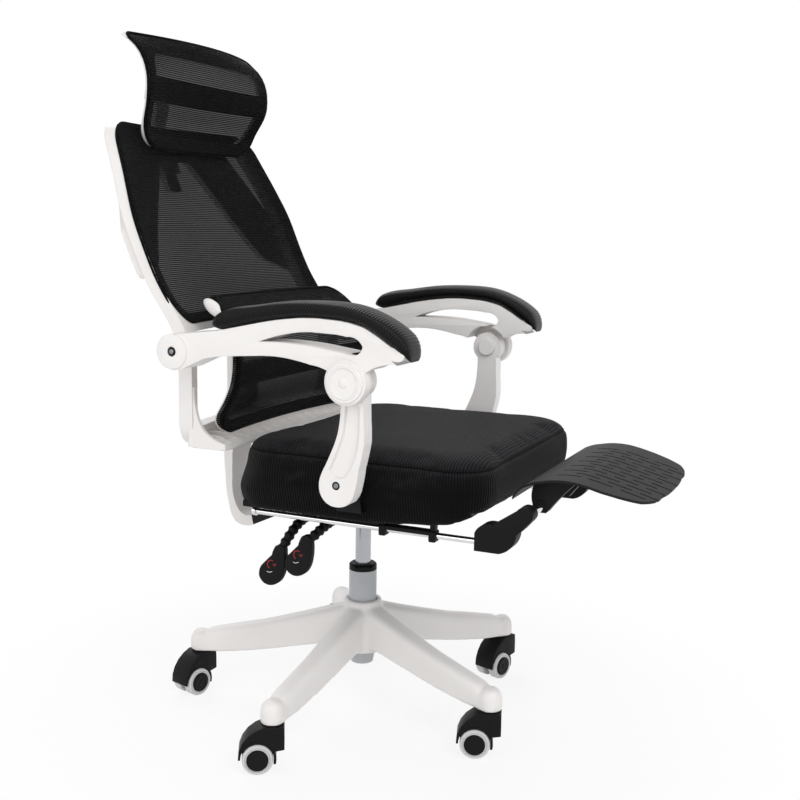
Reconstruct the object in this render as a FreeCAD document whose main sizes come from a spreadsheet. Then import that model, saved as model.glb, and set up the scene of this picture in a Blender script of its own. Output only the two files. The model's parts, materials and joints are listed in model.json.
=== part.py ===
"""Reclining office chair with a slide-out footrest, as an assembly of separate pieces.

Frame: +Z up, the sitter faces -Y, the origin is on the floor under the column axis.
Every length is in millimetres. A piece is one body of the document, and its sketches and
features are bound to the cells of one sheet, so a changed size rebuilds what depends on it.
"""
import FreeCAD
import Part
import Sketcher
import math
import os

os.makedirs("parts", exist_ok=True)
DOC = FreeCAD.newDocument("reclining_office_chair")
PIECES = {}

# The driving dimensions, one cell of the sheet each.
SIZES = {
    # Five-star base and its casters.
    "caster_circle_radius": 305.0,
    "first_leg_angle": 34.8,
    "leg_count": 5,
    "leg_end_low": 79.0,
    "leg_end_high": 118.0,
    "leg_end_radius": 20.0,
    "leg_root_half_wide": 25.0,
    "hub_low": 104.0,
    "hub_high": 197.0,
    "hub_radius": 47.5,
    "hub_neck_radius": 35.0,
    "wheel_radius": 25.0,
    "wheel_wide": 19.0,
    "wheel_spread": 6.0,
    "caster_trail": 24.0,
    "caster_axle_radius": 4.0,
    "stem_radius": 5.5,
    "stem_rise": 28.0,
    "tread_thick": 4.0,
    # Gas lift.
    "column_radius": 25.0,
    "column_low": 77.0,
    "column_high": 251.0,
    "column_wall": 2.5,
    "bush_flange_high": 12.0,
    "bush_deep": 60.0,
    "cylinder_radius": 14.0,
    "cylinder_wall": 2.4,
    "cylinder_low": 150.0,
    "cylinder_high": 393.0,
    "rod_radius": 5.0,
    "piston_high": 285.0,
    "running_gap": 0.05,
    "body_gap": 0.3,
    # Mechanism under the seat.
    "housing_half_wide": 62.0,
    "housing_front": -112.0,
    "housing_rear": 118.0,
    "housing_low": 352.0,
    "plate_thick": 3.0,
    "pivot_back": 90.0,
    "pivot_high": 375.0,
    "pivot_pin_radius": 6.0,
    "socket_radius": 21.0,
    # Seat.
    "seat_pan_low": 404.0,
    "pan_thick": 10.0,
    "pan_half_wide": 226.0,
    "seat_half_wide": 250.0,
    "seat_front": -316.0,
    "seat_rear": 123.0,
    "seat_top": 519.0,
    "seat_corner": 70.0,
    # Arms.
    "arm_inner": 272.0,
    "arm_outer": 315.0,
    "boss_outer": 322.0,
    "cap_outer": 326.6,
    "arm_rear_back": 184.0,
    "arm_rear_high": 665.0,
    "arm_joint_back": -127.0,
    "arm_joint_high": 638.0,
    "strut_foot_back": -101.0,
    "strut_foot_high": 476.0,
    "strut_thick": 26.0,
    "arm_bolt_radius": 5.0,
    "open_pivot_gap": 6.5,
    "pad_half_wide": 31.0,
    # Back.
    "back_half_wide": 250.0,
    "back_thick": 26.0,
    "back_hollow": 35.0,
    "post_setback": 6.0,
    "frame_ring_wide": 24.0,
    "mesh_thick": 3.0,
    "lumbar_half_wide": 237.0,
    "lumbar_thick": 14.0,
    "lumbar_hollow": 22.0,
    "head_half_wide": 190.0,
    "head_hollow": 34.0,
    "spine_half_wide": 32.0,
    "spine_thick": 17.0,
    # Footrest.
    "rail_spread": 200.0,
    "rail_radius": 5.0,
    "rail_high": 391.0,
    "rail_rear": 106.0,
    "hinge_front": -373.0,
    "hinge_high": 442.0,
    "crossbar_radius": 8.0,
    "plate_half_wide": 170.0,
    "plate_skin": 4.0,
    # Levers.
    "hose_radius": 9.0,
    "hose_bore": 5.0,
    "paddle_thick": 14.0,
    "recline_lever_back": 40.0,
    "height_lever_back": -14.0,
    "lever_high": 378.0,
}


class Size:
    """A number that remembers the sheet formula it comes from."""

    def __init__(self, value, text):
        self.value = float(value)
        self.text = text

    @staticmethod
    def of(item):
        """Wrap a plain number, and leave a Size as it is."""
        if isinstance(item, Size):
            return item
        return Size(item, "(%s)" % round(float(item), 6))

    def joined(self, other, sign, result):
        """A new Size from this one and another."""
        return Size(result, "(%s %s %s)" % (self.text, sign, Size.of(other).text))

    def __add__(self, other):
        return self.joined(other, "+", self.value + Size.of(other).value)

    def __radd__(self, other):
        return Size.of(other) + self

    def __sub__(self, other):
        return self.joined(other, "-", self.value - Size.of(other).value)

    def __rsub__(self, other):
        return Size.of(other) - self

    def __mul__(self, other):
        return self.joined(other, "*", self.value * Size.of(other).value)

    def __rmul__(self, other):
        return Size.of(other) * self

    def __truediv__(self, other):
        return self.joined(other, "/", self.value / Size.of(other).value)

    def __neg__(self):
        return Size.of(0) - self

    def __float__(self):
        return self.value


def make_sheet():
    """Write each driving dimension into a cell and name the cell after it."""
    sheet = DOC.addObject("Spreadsheet::Sheet", "Sizes")
    for row, (name, value) in enumerate(SIZES.items(), start=1):
        cell = "B%d" % row
        sheet.set("A%d" % row, name)
        sheet.set(cell, str(value))
        sheet.setAlias(cell, name)
    DOC.recompute()


def size(name):
    """The named driving dimension, with its formula."""
    return Size(SIZES[name], "Sizes.%s" % name)


def bind(thing, prop, amount):
    """Tie one property to a Size, or set a plain number."""
    if isinstance(amount, Size):
        thing.setExpression(prop, amount.text)
    else:
        thing.setExpression(prop, str(float(amount)))


class Sketch:
    """A sketch on one of a body's own planes, with every size bound."""

    def __init__(self, body, plane, offset=0.0):
        role = {"XY": "XY_Plane", "XZ": "XZ_Plane", "YZ": "YZ_Plane"}[plane]
        support = [each for each in body.Origin.OriginFeatures if each.Role == role][0]
        self.item = body.newObject("Sketcher::SketchObject", body.Label + "_sketch")
        self.item.AttachmentSupport = [(support, "")]
        self.item.MapMode = "FlatFace"
        # The XZ plane looks along -Y, so a place along +Y is a negative offset there.
        along = -Size.of(offset) if plane == "XZ" else Size.of(offset)
        bind(self.item, "AttachmentOffset.Base.z", along)

    def fix(self, kind, first, first_end, amount):
        """Hold one coordinate of a point to a Size, measured from the origin."""
        amount = Size.of(amount)
        index = self.item.addConstraint(
            Sketcher.Constraint(kind, -1, 1, first, first_end, amount.value))
        self.item.setExpression("Constraints[%d]" % index, amount.text)

    def hold(self, geometry, end, across, up):
        """Hold both coordinates of a point."""
        self.fix("DistanceX", geometry, end, across)
        self.fix("DistanceY", geometry, end, up)

    def radius(self, geometry, amount):
        """Hold the radius of a circle or an arc."""
        amount = Size.of(amount)
        index = self.item.addConstraint(Sketcher.Constraint("Radius", geometry, amount.value))
        self.item.setExpression("Constraints[%d]" % index, amount.text)

    def circle(self, across, up, radius):
        """A circle with its centre and radius held."""
        spot = FreeCAD.Vector(float(across), float(up), 0)
        ring = self.item.addGeometry(Part.Circle(spot, FreeCAD.Vector(0, 0, 1), float(radius)))
        self.hold(ring, 3, across, up)
        self.radius(ring, radius)
        return self

    def arc(self, begin, end, middle):
        """An arc of under a half circle, with the places of its first and last points."""
        out = begin - middle
        low = math.atan2(out.y, out.x)
        turn = signed_angle(out, end - middle)
        circle = Part.Circle(middle, FreeCAD.Vector(0, 0, 1), out.Length)
        if turn > 0:
            curve = Part.ArcOfCircle(circle, low, low + turn)
            return self.item.addGeometry(curve, False), 1, 2
        curve = Part.ArcOfCircle(circle, low + turn, low)
        return self.item.addGeometry(curve, False), 2, 1

    def outline(self, corners, closed=True):
        """An outline of straight sides. A corner is (across, up) or (across, up, radius)."""
        count = len(corners)
        spots = [FreeCAD.Vector(float(each[0]), float(each[1]), 0) for each in corners]
        rounds = [each[2] if len(each) > 2 else 0.0 for each in corners]
        ends = []
        for place, spot in enumerate(spots):
            turn = float(rounds[place])
            open_end = not closed and place in (0, count - 1)
            if turn == 0.0 or open_end:
                ends.append((spot, spot, None))
                continue
            back = (spots[place - 1] - spot).normalize()
            ahead = (spots[(place + 1) % count] - spot).normalize()
            half = back.getAngle(ahead) / 2.0
            reach = turn / math.tan(half)
            middle = spot + (back + ahead).normalize() * (turn / math.sin(half))
            ends.append((spot + back * reach, spot + ahead * reach, middle))
        sides = []
        for place in range(count if closed else count - 1):
            line = Part.LineSegment(ends[place][1], ends[(place + 1) % count][0])
            sides.append(self.item.addGeometry(line, False))
        for place in range(count):
            if not closed and place == 0:
                self.hold(sides[0], 1, corners[0][0], corners[0][1])
                continue
            if not closed and place == count - 1:
                self.hold(sides[-1], 2, corners[-1][0], corners[-1][1])
                continue
            before = sides[place - 1]
            after = sides[place]
            across, up = corners[place][0], corners[place][1]
            if ends[place][2] is None:
                self.item.addConstraint(Sketcher.Constraint("Coincident", before, 2, after, 1))
                self.hold(after, 1, across, up)
                continue
            arc, first, last = self.arc(*ends[place])
            self.item.addConstraint(Sketcher.Constraint("Tangent", before, 2, arc, first))
            self.item.addConstraint(Sketcher.Constraint("Tangent", arc, last, after, 1))
            self.radius(arc, rounds[place])
            point = self.item.addGeometry(Part.Point(spots[place]), True)
            self.item.addConstraint(Sketcher.Constraint("PointOnObject", point, 1, before))
            self.item.addConstraint(Sketcher.Constraint("PointOnObject", point, 1, after))
            self.hold(point, 1, across, up)
        return self

    def flow(self, points):
        """A closed outline through held points. One with a third value is passed smoothly.

        Each arc keeps the bulge that it is drawn with, so only its ends are held.
        """
        count = len(points)
        spots = [FreeCAD.Vector(float(each[0]), float(each[1]), 0) for each in points]
        headings = [
            heading_at(spots[place - 1], spots[place], spots[(place + 1) % count])
            if len(points[place]) > 2 else None for place in range(count)]
        sides = []
        for place in range(count):
            begin = spots[place]
            end = spots[(place + 1) % count]
            chord = end - begin
            turns = []
            if headings[place] is not None:
                turns.append(signed_angle(headings[place], chord))
            if headings[(place + 1) % count] is not None:
                turns.append(signed_angle(chord, headings[(place + 1) % count]))
            half = sum(turns) / len(turns) if turns else 0.0
            if abs(half) < 0.01:
                sides.append((self.item.addGeometry(Part.LineSegment(begin, end), False), 1, 2))
                continue
            inward = FreeCAD.Vector(-chord.y, chord.x, 0).normalize()
            middle = begin + chord * 0.5 + inward * (chord.Length / 2.0 / math.tan(half))
            sides.append(self.arc(begin, end, middle))
        for place in range(count):
            before = sides[place - 1]
            after = sides[place]
            self.item.addConstraint(
                Sketcher.Constraint("Coincident", before[0], before[2], after[0], after[1]))
            self.hold(after[0], after[1], points[place][0], points[place][1])
        return self

    def wall(self, face, rear):
        """A thin closed profile: two smooth curves joined by a short side at each end."""
        edges = []
        for row in (face, rear):
            curve = Part.BSplineCurve()
            curve.interpolate([FreeCAD.Vector(float(spot[0]), float(spot[1]), 0) for spot in row])
            edges.append(self.item.addGeometry(curve, False))
        for end, place in ((1, 0), (2, -1)):
            first = FreeCAD.Vector(float(face[place][0]), float(face[place][1]), 0)
            last = FreeCAD.Vector(float(rear[place][0]), float(rear[place][1]), 0)
            side = self.item.addGeometry(Part.LineSegment(first, last), False)
            self.item.addConstraint(Sketcher.Constraint("Coincident", edges[0], end, side, 1))
            self.item.addConstraint(Sketcher.Constraint("Coincident", edges[1], end, side, 2))
            self.hold(edges[0], end, face[place][0], face[place][1])
            self.hold(edges[1], end, rear[place][0], rear[place][1])
        return self


def signed_angle(first, second):
    """The turn from one direction to another, positive to the left."""
    cross = first.x * second.y - first.y * second.x
    return math.atan2(cross, first.dot(second))


def heading_at(before, here, after):
    """The direction at a point of the circle through it and its two neighbours."""
    back = here - before
    ahead = after - here
    whole = signed_angle(back, ahead)
    share = back.Length / (back.Length + ahead.Length)
    angle = math.atan2(back.y, back.x) + whole * share
    return FreeCAD.Vector(math.cos(angle), math.sin(angle), 0)


class Piece:
    """One body of the document, whose label names its node."""

    def __init__(self, label, kept=True):
        self.label = label
        self.body = DOC.addObject("PartDesign::Body", label)
        self.body.Label = label
        if kept:
            PIECES[label] = self.body

    def sketch(self, plane, offset=0.0):
        """A new sketch on this body's own plane."""
        return Sketch(self.body, plane, offset)

    def pad(self, sketch, length, reverse=False, middle=False):
        """Raise a sketch by a length."""
        feature = self.body.newObject("PartDesign::Pad", self.label + "_pad")
        feature.Profile = sketch.item
        bind(feature, "Length", length)
        feature.Reversed = reverse
        feature.Midplane = middle
        return feature

    def pocket(self, sketch, length, reverse=False, middle=False):
        """Cut a sketch away to a depth, and make sure that it cut something."""
        DOC.recompute()
        before = self.body.Shape.Volume
        feature = self.body.newObject("PartDesign::Pocket", self.label + "_pocket")
        feature.Profile = sketch.item
        bind(feature, "Length", length)
        feature.Reversed = reverse
        feature.Midplane = middle
        DOC.recompute()
        if not self.body.Shape.Volume < before - 0.01:
            raise ValueError("%s: a pocket cut nothing" % self.label)
        return feature

    def turn(self, sketch, axis="V_Axis"):
        """Revolve a sketch about one of its own axes."""
        feature = self.body.newObject("PartDesign::Revolution", self.label + "_turned")
        feature.Profile = sketch.item
        feature.ReferenceAxis = (sketch.item, [axis])
        feature.Angle = 360.0
        return feature

    def loft(self, sketches, ruled=False):
        """Join sections in order."""
        feature = self.body.newObject("PartDesign::AdditiveLoft", self.label + "_loft")
        feature.Profile = sketches[0].item
        feature.Sections = [each.item for each in sketches[1:]]
        feature.Ruled = ruled
        return feature

    def pipe(self, profile, path):
        """Sweep a profile along a path."""
        feature = self.body.newObject("PartDesign::AdditivePipe", self.label + "_pipe")
        feature.Profile = profile.item
        feature.Spine = path.item
        return feature

    def polar(self, features, count):
        """Repeat features about the vertical axis."""
        feature = self.body.newObject("PartDesign::PolarPattern", self.label + "_pattern")
        feature.Originals = features
        axis = [each for each in self.body.Origin.OriginFeatures if each.Role == "Z_Axis"][0]
        feature.Axis = (axis, [""])
        feature.Angle = 360.0
        bind(feature, "Occurrences", count)
        self.body.Tip = feature
        return feature

    def round(self, radius, wanted):
        """Round the edges that a test picks."""
        DOC.recompute()
        base = self.body.Tip
        names = ["Edge%d" % (place + 1) for place, edge in enumerate(base.Shape.Edges)
                 if wanted(edge)]
        feature = self.body.newObject("PartDesign::Fillet", self.label + "_round")
        feature.Base = (base, names)
        bind(feature, "Radius", radius)
        DOC.recompute()
        return feature

    def place(self, across=0.0, along=0.0, up=0.0, turn=0.0):
        """Set where the body stands, bound to the sheet."""
        bind(self.body, "Placement.Base.x", across)
        bind(self.body, "Placement.Base.y", along)
        bind(self.body, "Placement.Base.z", up)
        bind(self.body, "Placement.Rotation.Angle", turn)
        return self


def in_plane_of(edge, axis, level, within=0.01):
    """Whether both ends of an edge lie at one level of an axis."""
    values = [getattr(vertex.Point, axis) for vertex in edge.Vertexes]
    return all(abs(value - float(level)) < within for value in values)


make_sheet()


# Base, casters and gas lift.

def star_base():
    """Five hollow-looking legs on a tall hub, each with a socket for a caster stem."""
    piece = Piece("star_base")
    bore = size("column_radius")
    legs = []
    stations = [
        (30.0, size("hub_low") + 14, size("hub_high") - 10, size("leg_root_half_wide")),
        (110.0, size("hub_low"), 162.0, size("leg_root_half_wide") - 2),
        (200.0, 88.0, 138.0, size("leg_root_half_wide") - 4),
        (size("caster_circle_radius"), size("leg_end_low"), size("leg_end_high") - 9,
         size("leg_end_radius") - 0.5),
    ]
    sections = []
    for reach, low, high, half in stations:
        sections.append(piece.sketch("YZ", reach).outline([
            (-half, low), (half, low), (half - 3, high, 14), (3 - half, high, 14)]))
    legs.append(piece.loft(sections))
    rings = []
    for drop, inset in ((39.0, 0.0), (19.0, 0.0), (12.0, 1.6), (6.5, 4.6), (2.5, 9.0), (0.5, 14.0)):
        end = piece.sketch("XY", size("leg_end_high") - drop)
        rings.append(end.circle(size("caster_circle_radius"), 0, size("leg_end_radius") - inset))
    legs.append(piece.loft(rings, ruled=True))
    DOC.recompute()
    piece.polar(legs, size("leg_count"))
    hub = piece.sketch("XZ").outline([
        (bore, size("hub_low")), (size("hub_radius"), size("hub_low"), 5),
        (size("hub_radius"), size("hub_high") - 34, 8),
        (size("hub_neck_radius"), size("hub_high") - 12, 3),
        (size("hub_neck_radius"), size("hub_high"), 2), (bore, size("hub_high"))])
    piece.turn(hub)
    socket = piece.sketch("XY", size("leg_end_low"))
    socket.circle(size("caster_circle_radius"), 0, size("stem_radius"))
    cut = piece.pocket(socket, size("stem_rise"), reverse=True)
    piece.polar([cut], size("leg_count"))
    piece.place(turn=size("first_leg_angle"))


def gas_lift():
    """Outer column, guide bush, rod with its piston, thrust bearing, clip and cylinder."""
    outer = size("column_radius")
    inner = outer - size("column_wall")
    low = size("column_low")
    high = size("column_high")
    floor = low + 6
    rod = size("rod_radius")
    gap = size("running_gap")
    tube = Piece("column_tube")
    tube.turn(tube.sketch("XZ").outline([
        (rod + gap, low), (outer - 5, low, 1), (outer, low + 26), (outer, high),
        (inner, high), (inner, low + 26), (inner - 4, floor), (rod + gap, floor)]))
    bush = Piece("column_bush")
    bore = size("cylinder_radius") + gap
    bush.turn(bush.sketch("XZ").outline([
        (bore, high - size("bush_deep")), (inner, high - size("bush_deep")), (inner, high),
        (outer, high), (outer, high + size("bush_flange_high") - 3),
        (outer - 3, high + size("bush_flange_high")), (bore, high + size("bush_flange_high"))]))
    notch = bush.sketch("XY", high + size("bush_flange_high"))
    notch.outline([(outer - 4, -3), (outer + 2, -3), (outer + 2, 3), (outer - 4, 3)])
    cut = bush.pocket(notch, 5)
    bush.polar([cut], 6)
    bearing = Piece("thrust_bearing")
    bearing.turn(bearing.sketch("XZ").outline([
        (rod + gap, floor), (rod + 9, floor, 1), (rod + 9, floor + 8, 1), (rod + gap, floor + 8)]))
    stem = Piece("piston_rod")
    seat = floor + 8 + gap
    piston = size("piston_high")
    bore_wide = size("cylinder_radius") - size("cylinder_wall") - gap
    stem.turn(stem.sketch("XZ").outline([
        (0, low - 3), (rod, low - 3), (rod, seat), (rod + 4, seat, 1), (rod + 4, seat + 4, 1),
        (rod, seat + 4), (rod, piston), (bore_wide, piston, 1), (bore_wide, piston + 14, 1),
        (rod, piston + 14), (rod - 1, piston + 20), (0, piston + 20)]))
    clip = Piece("column_clip")
    clip.pad(clip.sketch("XY", low - 2.2).outline([
        (-rod - gap, rod + 6), (-rod - gap, -3, 3), (0, -rod - 1, 3), (rod + gap, -3, 3),
        (rod + gap, rod + 6), (rod + 6, rod + 2, 2), (rod + 6, -rod - 2, 5),
        (-rod - 6, -rod - 2, 5), (-rod - 6, rod + 2, 2)]), 1.8)
    lift = Piece("gas_cylinder")
    wall = size("cylinder_wall")
    radius = size("cylinder_radius")
    bottom = size("cylinder_low")
    top = size("cylinder_high")
    lift.turn(lift.sketch("XZ").outline([
        (rod + gap, bottom), (radius, bottom, 1), (radius, top - 1), (radius - 1, top), (0, top),
        (0, top - 20), (radius - wall, top - 20), (radius - wall, bottom + 14),
        (rod + gap, bottom + 14)]))


def caster(number, heading):
    """One caster: a hooded fork with its axle, and two wheels."""
    leg = size("first_leg_angle") + (number - 1) * (360.0 / SIZES["leg_count"])
    reach = size("caster_circle_radius")
    across = Size(reach.value * math.cos(math.radians(leg.value)),
                  "(%s * cos(%s))" % (reach.text, leg.text))
    along = Size(reach.value * math.sin(math.radians(leg.value)),
                 "(%s * sin(%s))" % (reach.text, leg.text))
    wheel = size("wheel_radius")
    axle = size("caster_axle_radius")
    trail = size("caster_trail")
    top = size("leg_end_low") - size("body_gap")
    hood = Piece("caster_%d_hood" % number)
    shell = wheel + 5
    half = size("wheel_spread") + size("wheel_wide") - 4
    hood.pad(hood.sketch("XZ").circle(trail, wheel, shell), half * 2, middle=True)
    hood.pocket(hood.sketch("XZ").circle(trail, wheel, wheel + 1.5), half * 2 + 2, middle=True)
    hood.pocket(hood.sketch("XZ").outline([
        (trail - shell - 4, wheel - 8), (trail - wheel, wheel - 8), (trail, wheel),
        (trail + wheel, wheel + 12), (trail + shell + 4, wheel + 12),
        (trail + shell + 4, -10), (trail - shell - 4, -10)]), half * 2 + 2, middle=True)
    hood.pad(hood.sketch("XZ").outline([
        (-11, top - 26), (11, top - 26), (trail, wheel + 28), (trail + 12, wheel + 24, 6),
        (trail + 9, wheel - 8, 8), (trail - 9, wheel - 8, 8), (trail - 22, wheel + 18, 6)]),
        (size("wheel_spread") - size("body_gap")) * 2, middle=True)
    hood.pad(hood.sketch("XY", top).circle(0, 0, size("leg_end_radius") - 1), 27, reverse=True)
    hood.pad(hood.sketch("XZ").circle(trail, wheel, axle),
             (size("wheel_spread") + size("wheel_wide")) * 2 - 2, middle=True)
    stem = hood.sketch("XY", top).circle(0, 0, size("stem_radius") - size("running_gap"))
    hood.pad(stem, size("stem_rise") - 1)
    hood.place(across, along, 0.0, heading)
    for side, name in ((1, "left"), (-1, "right")):
        roller = Piece("caster_%d_wheel_%s" % (number, name))
        near = size("wheel_spread")
        far = size("wheel_spread") + size("wheel_wide")
        bore = axle + size("running_gap")
        tread = size("tread_thick")
        roller.turn(roller.sketch("XY").outline([
            (bore, side * near), (wheel - 2, side * near), (wheel, side * (near + 2)),
            (wheel, side * (far - 4)), (wheel - 1.5, side * (far - 1)),
            (wheel - tread, side * (far - 1)), (wheel - tread - 1, side * (far - 2.5)),
            (bore + 6, side * (far - 0.5)), (bore, side * (far - 0.5))]))
        angle = math.radians(heading)
        roller.place(across + trail * math.cos(angle), along + trail * math.sin(angle),
                     wheel, heading)


star_base()
gas_lift()
CASTER_HEADINGS = [150.0, 165.0, 121.0, 110.0, 162.0]
for caster_number, caster_heading in enumerate(CASTER_HEADINGS, start=1):
    caster(caster_number, caster_heading)


# Mechanism and seat.

def housing():
    """The folded steel housing with the cylinder socket and the recline pin."""
    piece = Piece("mechanism_housing")
    half = size("housing_half_wide")
    front = size("housing_front")
    rear = size("housing_rear")
    low = size("housing_low")
    top = size("seat_pan_low")
    plate = size("plate_thick")
    pin = size("pivot_pin_radius")
    piece.pad(piece.sketch("YZ").outline([
        (front, top), (front, top - 22, 8), (front + 45, low, 14), (48, low, 8),
        (66, low + 8, 8), (rear, low + 8, 14), (rear, top)]), half * 2, middle=True)
    piece.pocket(piece.sketch("XY", top).outline([
        (plate - half, front + plate, 6), (half - plate, front + plate, 6),
        (half - plate, rear + 1), (plate - half, rear + 1)]), top - low - plate)
    piece.pocket(piece.sketch("XY", low - 1).outline([
        (plate - half, 50), (half - plate, 50), (half - plate, rear + 1), (plate - half, rear + 1)]),
        12, reverse=True)
    piece.pad(piece.sketch("XY", low - 12).circle(0, 0, size("socket_radius")), top - low + 8)
    piece.pocket(piece.sketch("XY", low - 13).circle(0, 0, size("cylinder_radius")),
                 size("cylinder_high") - low + 13, reverse=True)
    for along in (size("recline_lever_back"), size("height_lever_back")):
        piece.pad(piece.sketch("YZ", -half).circle(
            along, size("lever_high"), size("hose_bore") - size("running_gap")), 14, reverse=True)
    piece.pocket(piece.sketch("YZ", -half - 1).circle(size("pivot_back"), size("pivot_high"), pin),
                 half * 2 + 2, reverse=True)
    pivot = Piece("recline_pin")
    pivot.pad(pivot.sketch("YZ").circle(size("pivot_back"), size("pivot_high"), pin),
              half * 2 + 4, middle=True)


def seat_line(lift):
    """The underside of the seat, as points of a side view, raised by an amount."""
    low = size("seat_pan_low") + lift
    front = size("seat_front")
    return [(size("seat_rear") - 12, low), (-120.0, low), (front + 66, low + 13),
            (front + 40, low + 21), (front + 22, low + 30)]


def seat():
    """The moulded pan and the crowned cushion that wraps its edge."""
    thick = size("pan_thick")
    half = size("pan_half_wide")
    pan = Piece("seat_pan")
    under = seat_line(0.0)
    over = seat_line(thick)
    pan.pad(pan.sketch("YZ").outline(under + over[::-1]), half * 2, middle=True)
    cushion = Piece("seat_cushion")
    low = size("seat_pan_low")
    top = size("seat_top")
    wide = size("seat_half_wide")
    corner = size("seat_corner")
    sections = []
    for level, inset, behind in ((low + 1, 13.0, 20.0), (low + 30, 3.0, 19.0), (low + 64, 0.0, 0.0),
                                 (top - 24, 2.0, 0.0), (top - 14, 7.0, 0.0), (top - 6, 18.0, 0.0),
                                 (top - 2, 44.0, 0.0), (top, 120.0, 0.0)):
        left = inset - wide
        right = wide - inset
        front = size("seat_front") + inset
        rear = size("seat_rear") - inset + behind
        turn = corner - inset * 0.4
        sections.append(cushion.sketch("XY", level).outline([
            (left, front, turn), (right, front, turn), (right, rear, turn), (left, rear, turn)]))
    cushion.loft(sections, ruled=True)
    gap = size("body_gap")
    room = seat_line(thick + gap)
    floor = low - 10
    front = size("seat_front")
    cushion.pocket(cushion.sketch("YZ").outline(
        [(size("seat_rear") - 12 + gap, floor), (size("seat_rear") - 12 + gap, low + thick + gap)]
        + room[1:] + [(front + 22 - gap, low + thick + gap + 30), (front + 22 - gap, floor)]),
        half * 2 + gap * 2, middle=True)
    cushion.pocket(cushion.sketch("YZ").outline([
        (-120, floor), (-120, low), (front + 66, low + 12.5), (front + 40, low + 20.5),
        (front + 19, low + 31), (front - 5, low + 45), (front - 5, floor)]),
        wide * 2 + 10, middle=True)


def side_brackets():
    """The two steel tabs under the pan that carry the feet of the arm struts."""
    piece = Piece("strut_brackets")
    foot = size("strut_foot_back")
    high = size("strut_foot_high")
    inner = size("seat_half_wide") + 1.5
    low = size("seat_pan_low")
    plate = size("plate_thick") + 1
    for side in (-1, 1):
        piece.pad(piece.sketch("YZ", side * inner).outline([
            (foot - 22, low - plate), (foot + 22, low - plate), (foot + 15, high + 2, 4),
            (foot + 15, high + 15, 12), (foot - 15, high + 15, 12), (foot - 15, high + 2, 4)]),
            plate, reverse=side < 0)
        piece.pad(piece.sketch("XY", low - plate).outline([
            (side * 150, foot - 22), (side * (inner + plate), foot - 22),
            (side * (inner + plate), foot + 22), (side * 150, foot + 22)]), plate)
        piece.pad(piece.sketch("YZ", side * inner).circle(foot, high, 9),
                  size("arm_inner") - inner - size("body_gap"), reverse=side < 0)
        piece.pad(piece.sketch("YZ", side * inner).circle(foot, high, size("arm_bolt_radius")),
                  size("arm_inner") + size("strut_thick") - inner - 8, reverse=side < 0)


# Arms.

def arm_top():
    """The upper line of an arm beam, from behind the pad to the tip, as side-view points."""
    back = size("arm_rear_back")
    high = size("arm_rear_high")
    return [(back - 86, high + 38, 1), (back - 125, high + 46, 1), (back - 173, high + 56, 1),
            (back - 219, high + 63, 1), (back - 280, high + 64, 1), (back - 339, high + 54, 1),
            (back - 382, high + 29, 1), (back - 413, high + 14, 1)]


def strut(side, name):
    """The front support of an arm, from the seat to the arm's boss."""
    foot = size("strut_foot_back")
    low = size("strut_foot_high")
    head = size("arm_joint_back")
    high = size("arm_joint_high")
    inner = side * size("arm_inner")
    thick = size("strut_thick")
    piece = Piece("arm_strut_" + name)
    piece.pad(piece.sketch("YZ", inner).flow([
        (head + 19, high - 18), (head + 20, high - 57, 1), (head + 24, high - 82, 1),
        (head + 33, high - 107, 1), (head + 45, high - 133, 1), (head + 54, high - 153, 1),
        (foot + 29, low - 8, 1), (foot + 17, low - 28, 1), (foot - 3, low - 33, 1),
        (foot - 22, low - 26, 1), (foot - 32, low - 6, 1), (head - 12, high - 135, 1),
        (head - 21, high - 94, 1), (head - 20, high - 60, 1), (head - 19, high - 18)]), thick,
        reverse=side < 0)
    piece.pad(piece.sketch("YZ", inner).circle(head, high, 28), thick, reverse=side < 0)
    outer = side * (size("arm_inner") + thick)
    piece.pocket(piece.sketch("YZ", outer).flow([
        (head + 11, high - 38), (head + 13, high - 62, 1), (head + 18, high - 90, 1),
        (head + 28, high - 115, 1), (head + 38, high - 138), (head + 22, high - 150, 1),
        (head + 6, high - 141), (head - 8, high - 108, 1), (head - 12, high - 72, 1),
        (head - 12, high - 38)]), 4, reverse=side < 0)
    bore = size("arm_bolt_radius") + size("running_gap")
    piece.pocket(piece.sketch("YZ", inner).circle(foot, low, bore), thick, reverse=side > 0)
    loose = size("arm_bolt_radius") + size("open_pivot_gap")
    piece.pocket(piece.sketch("YZ", inner).circle(head, high, loose), thick, reverse=side > 0)


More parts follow.
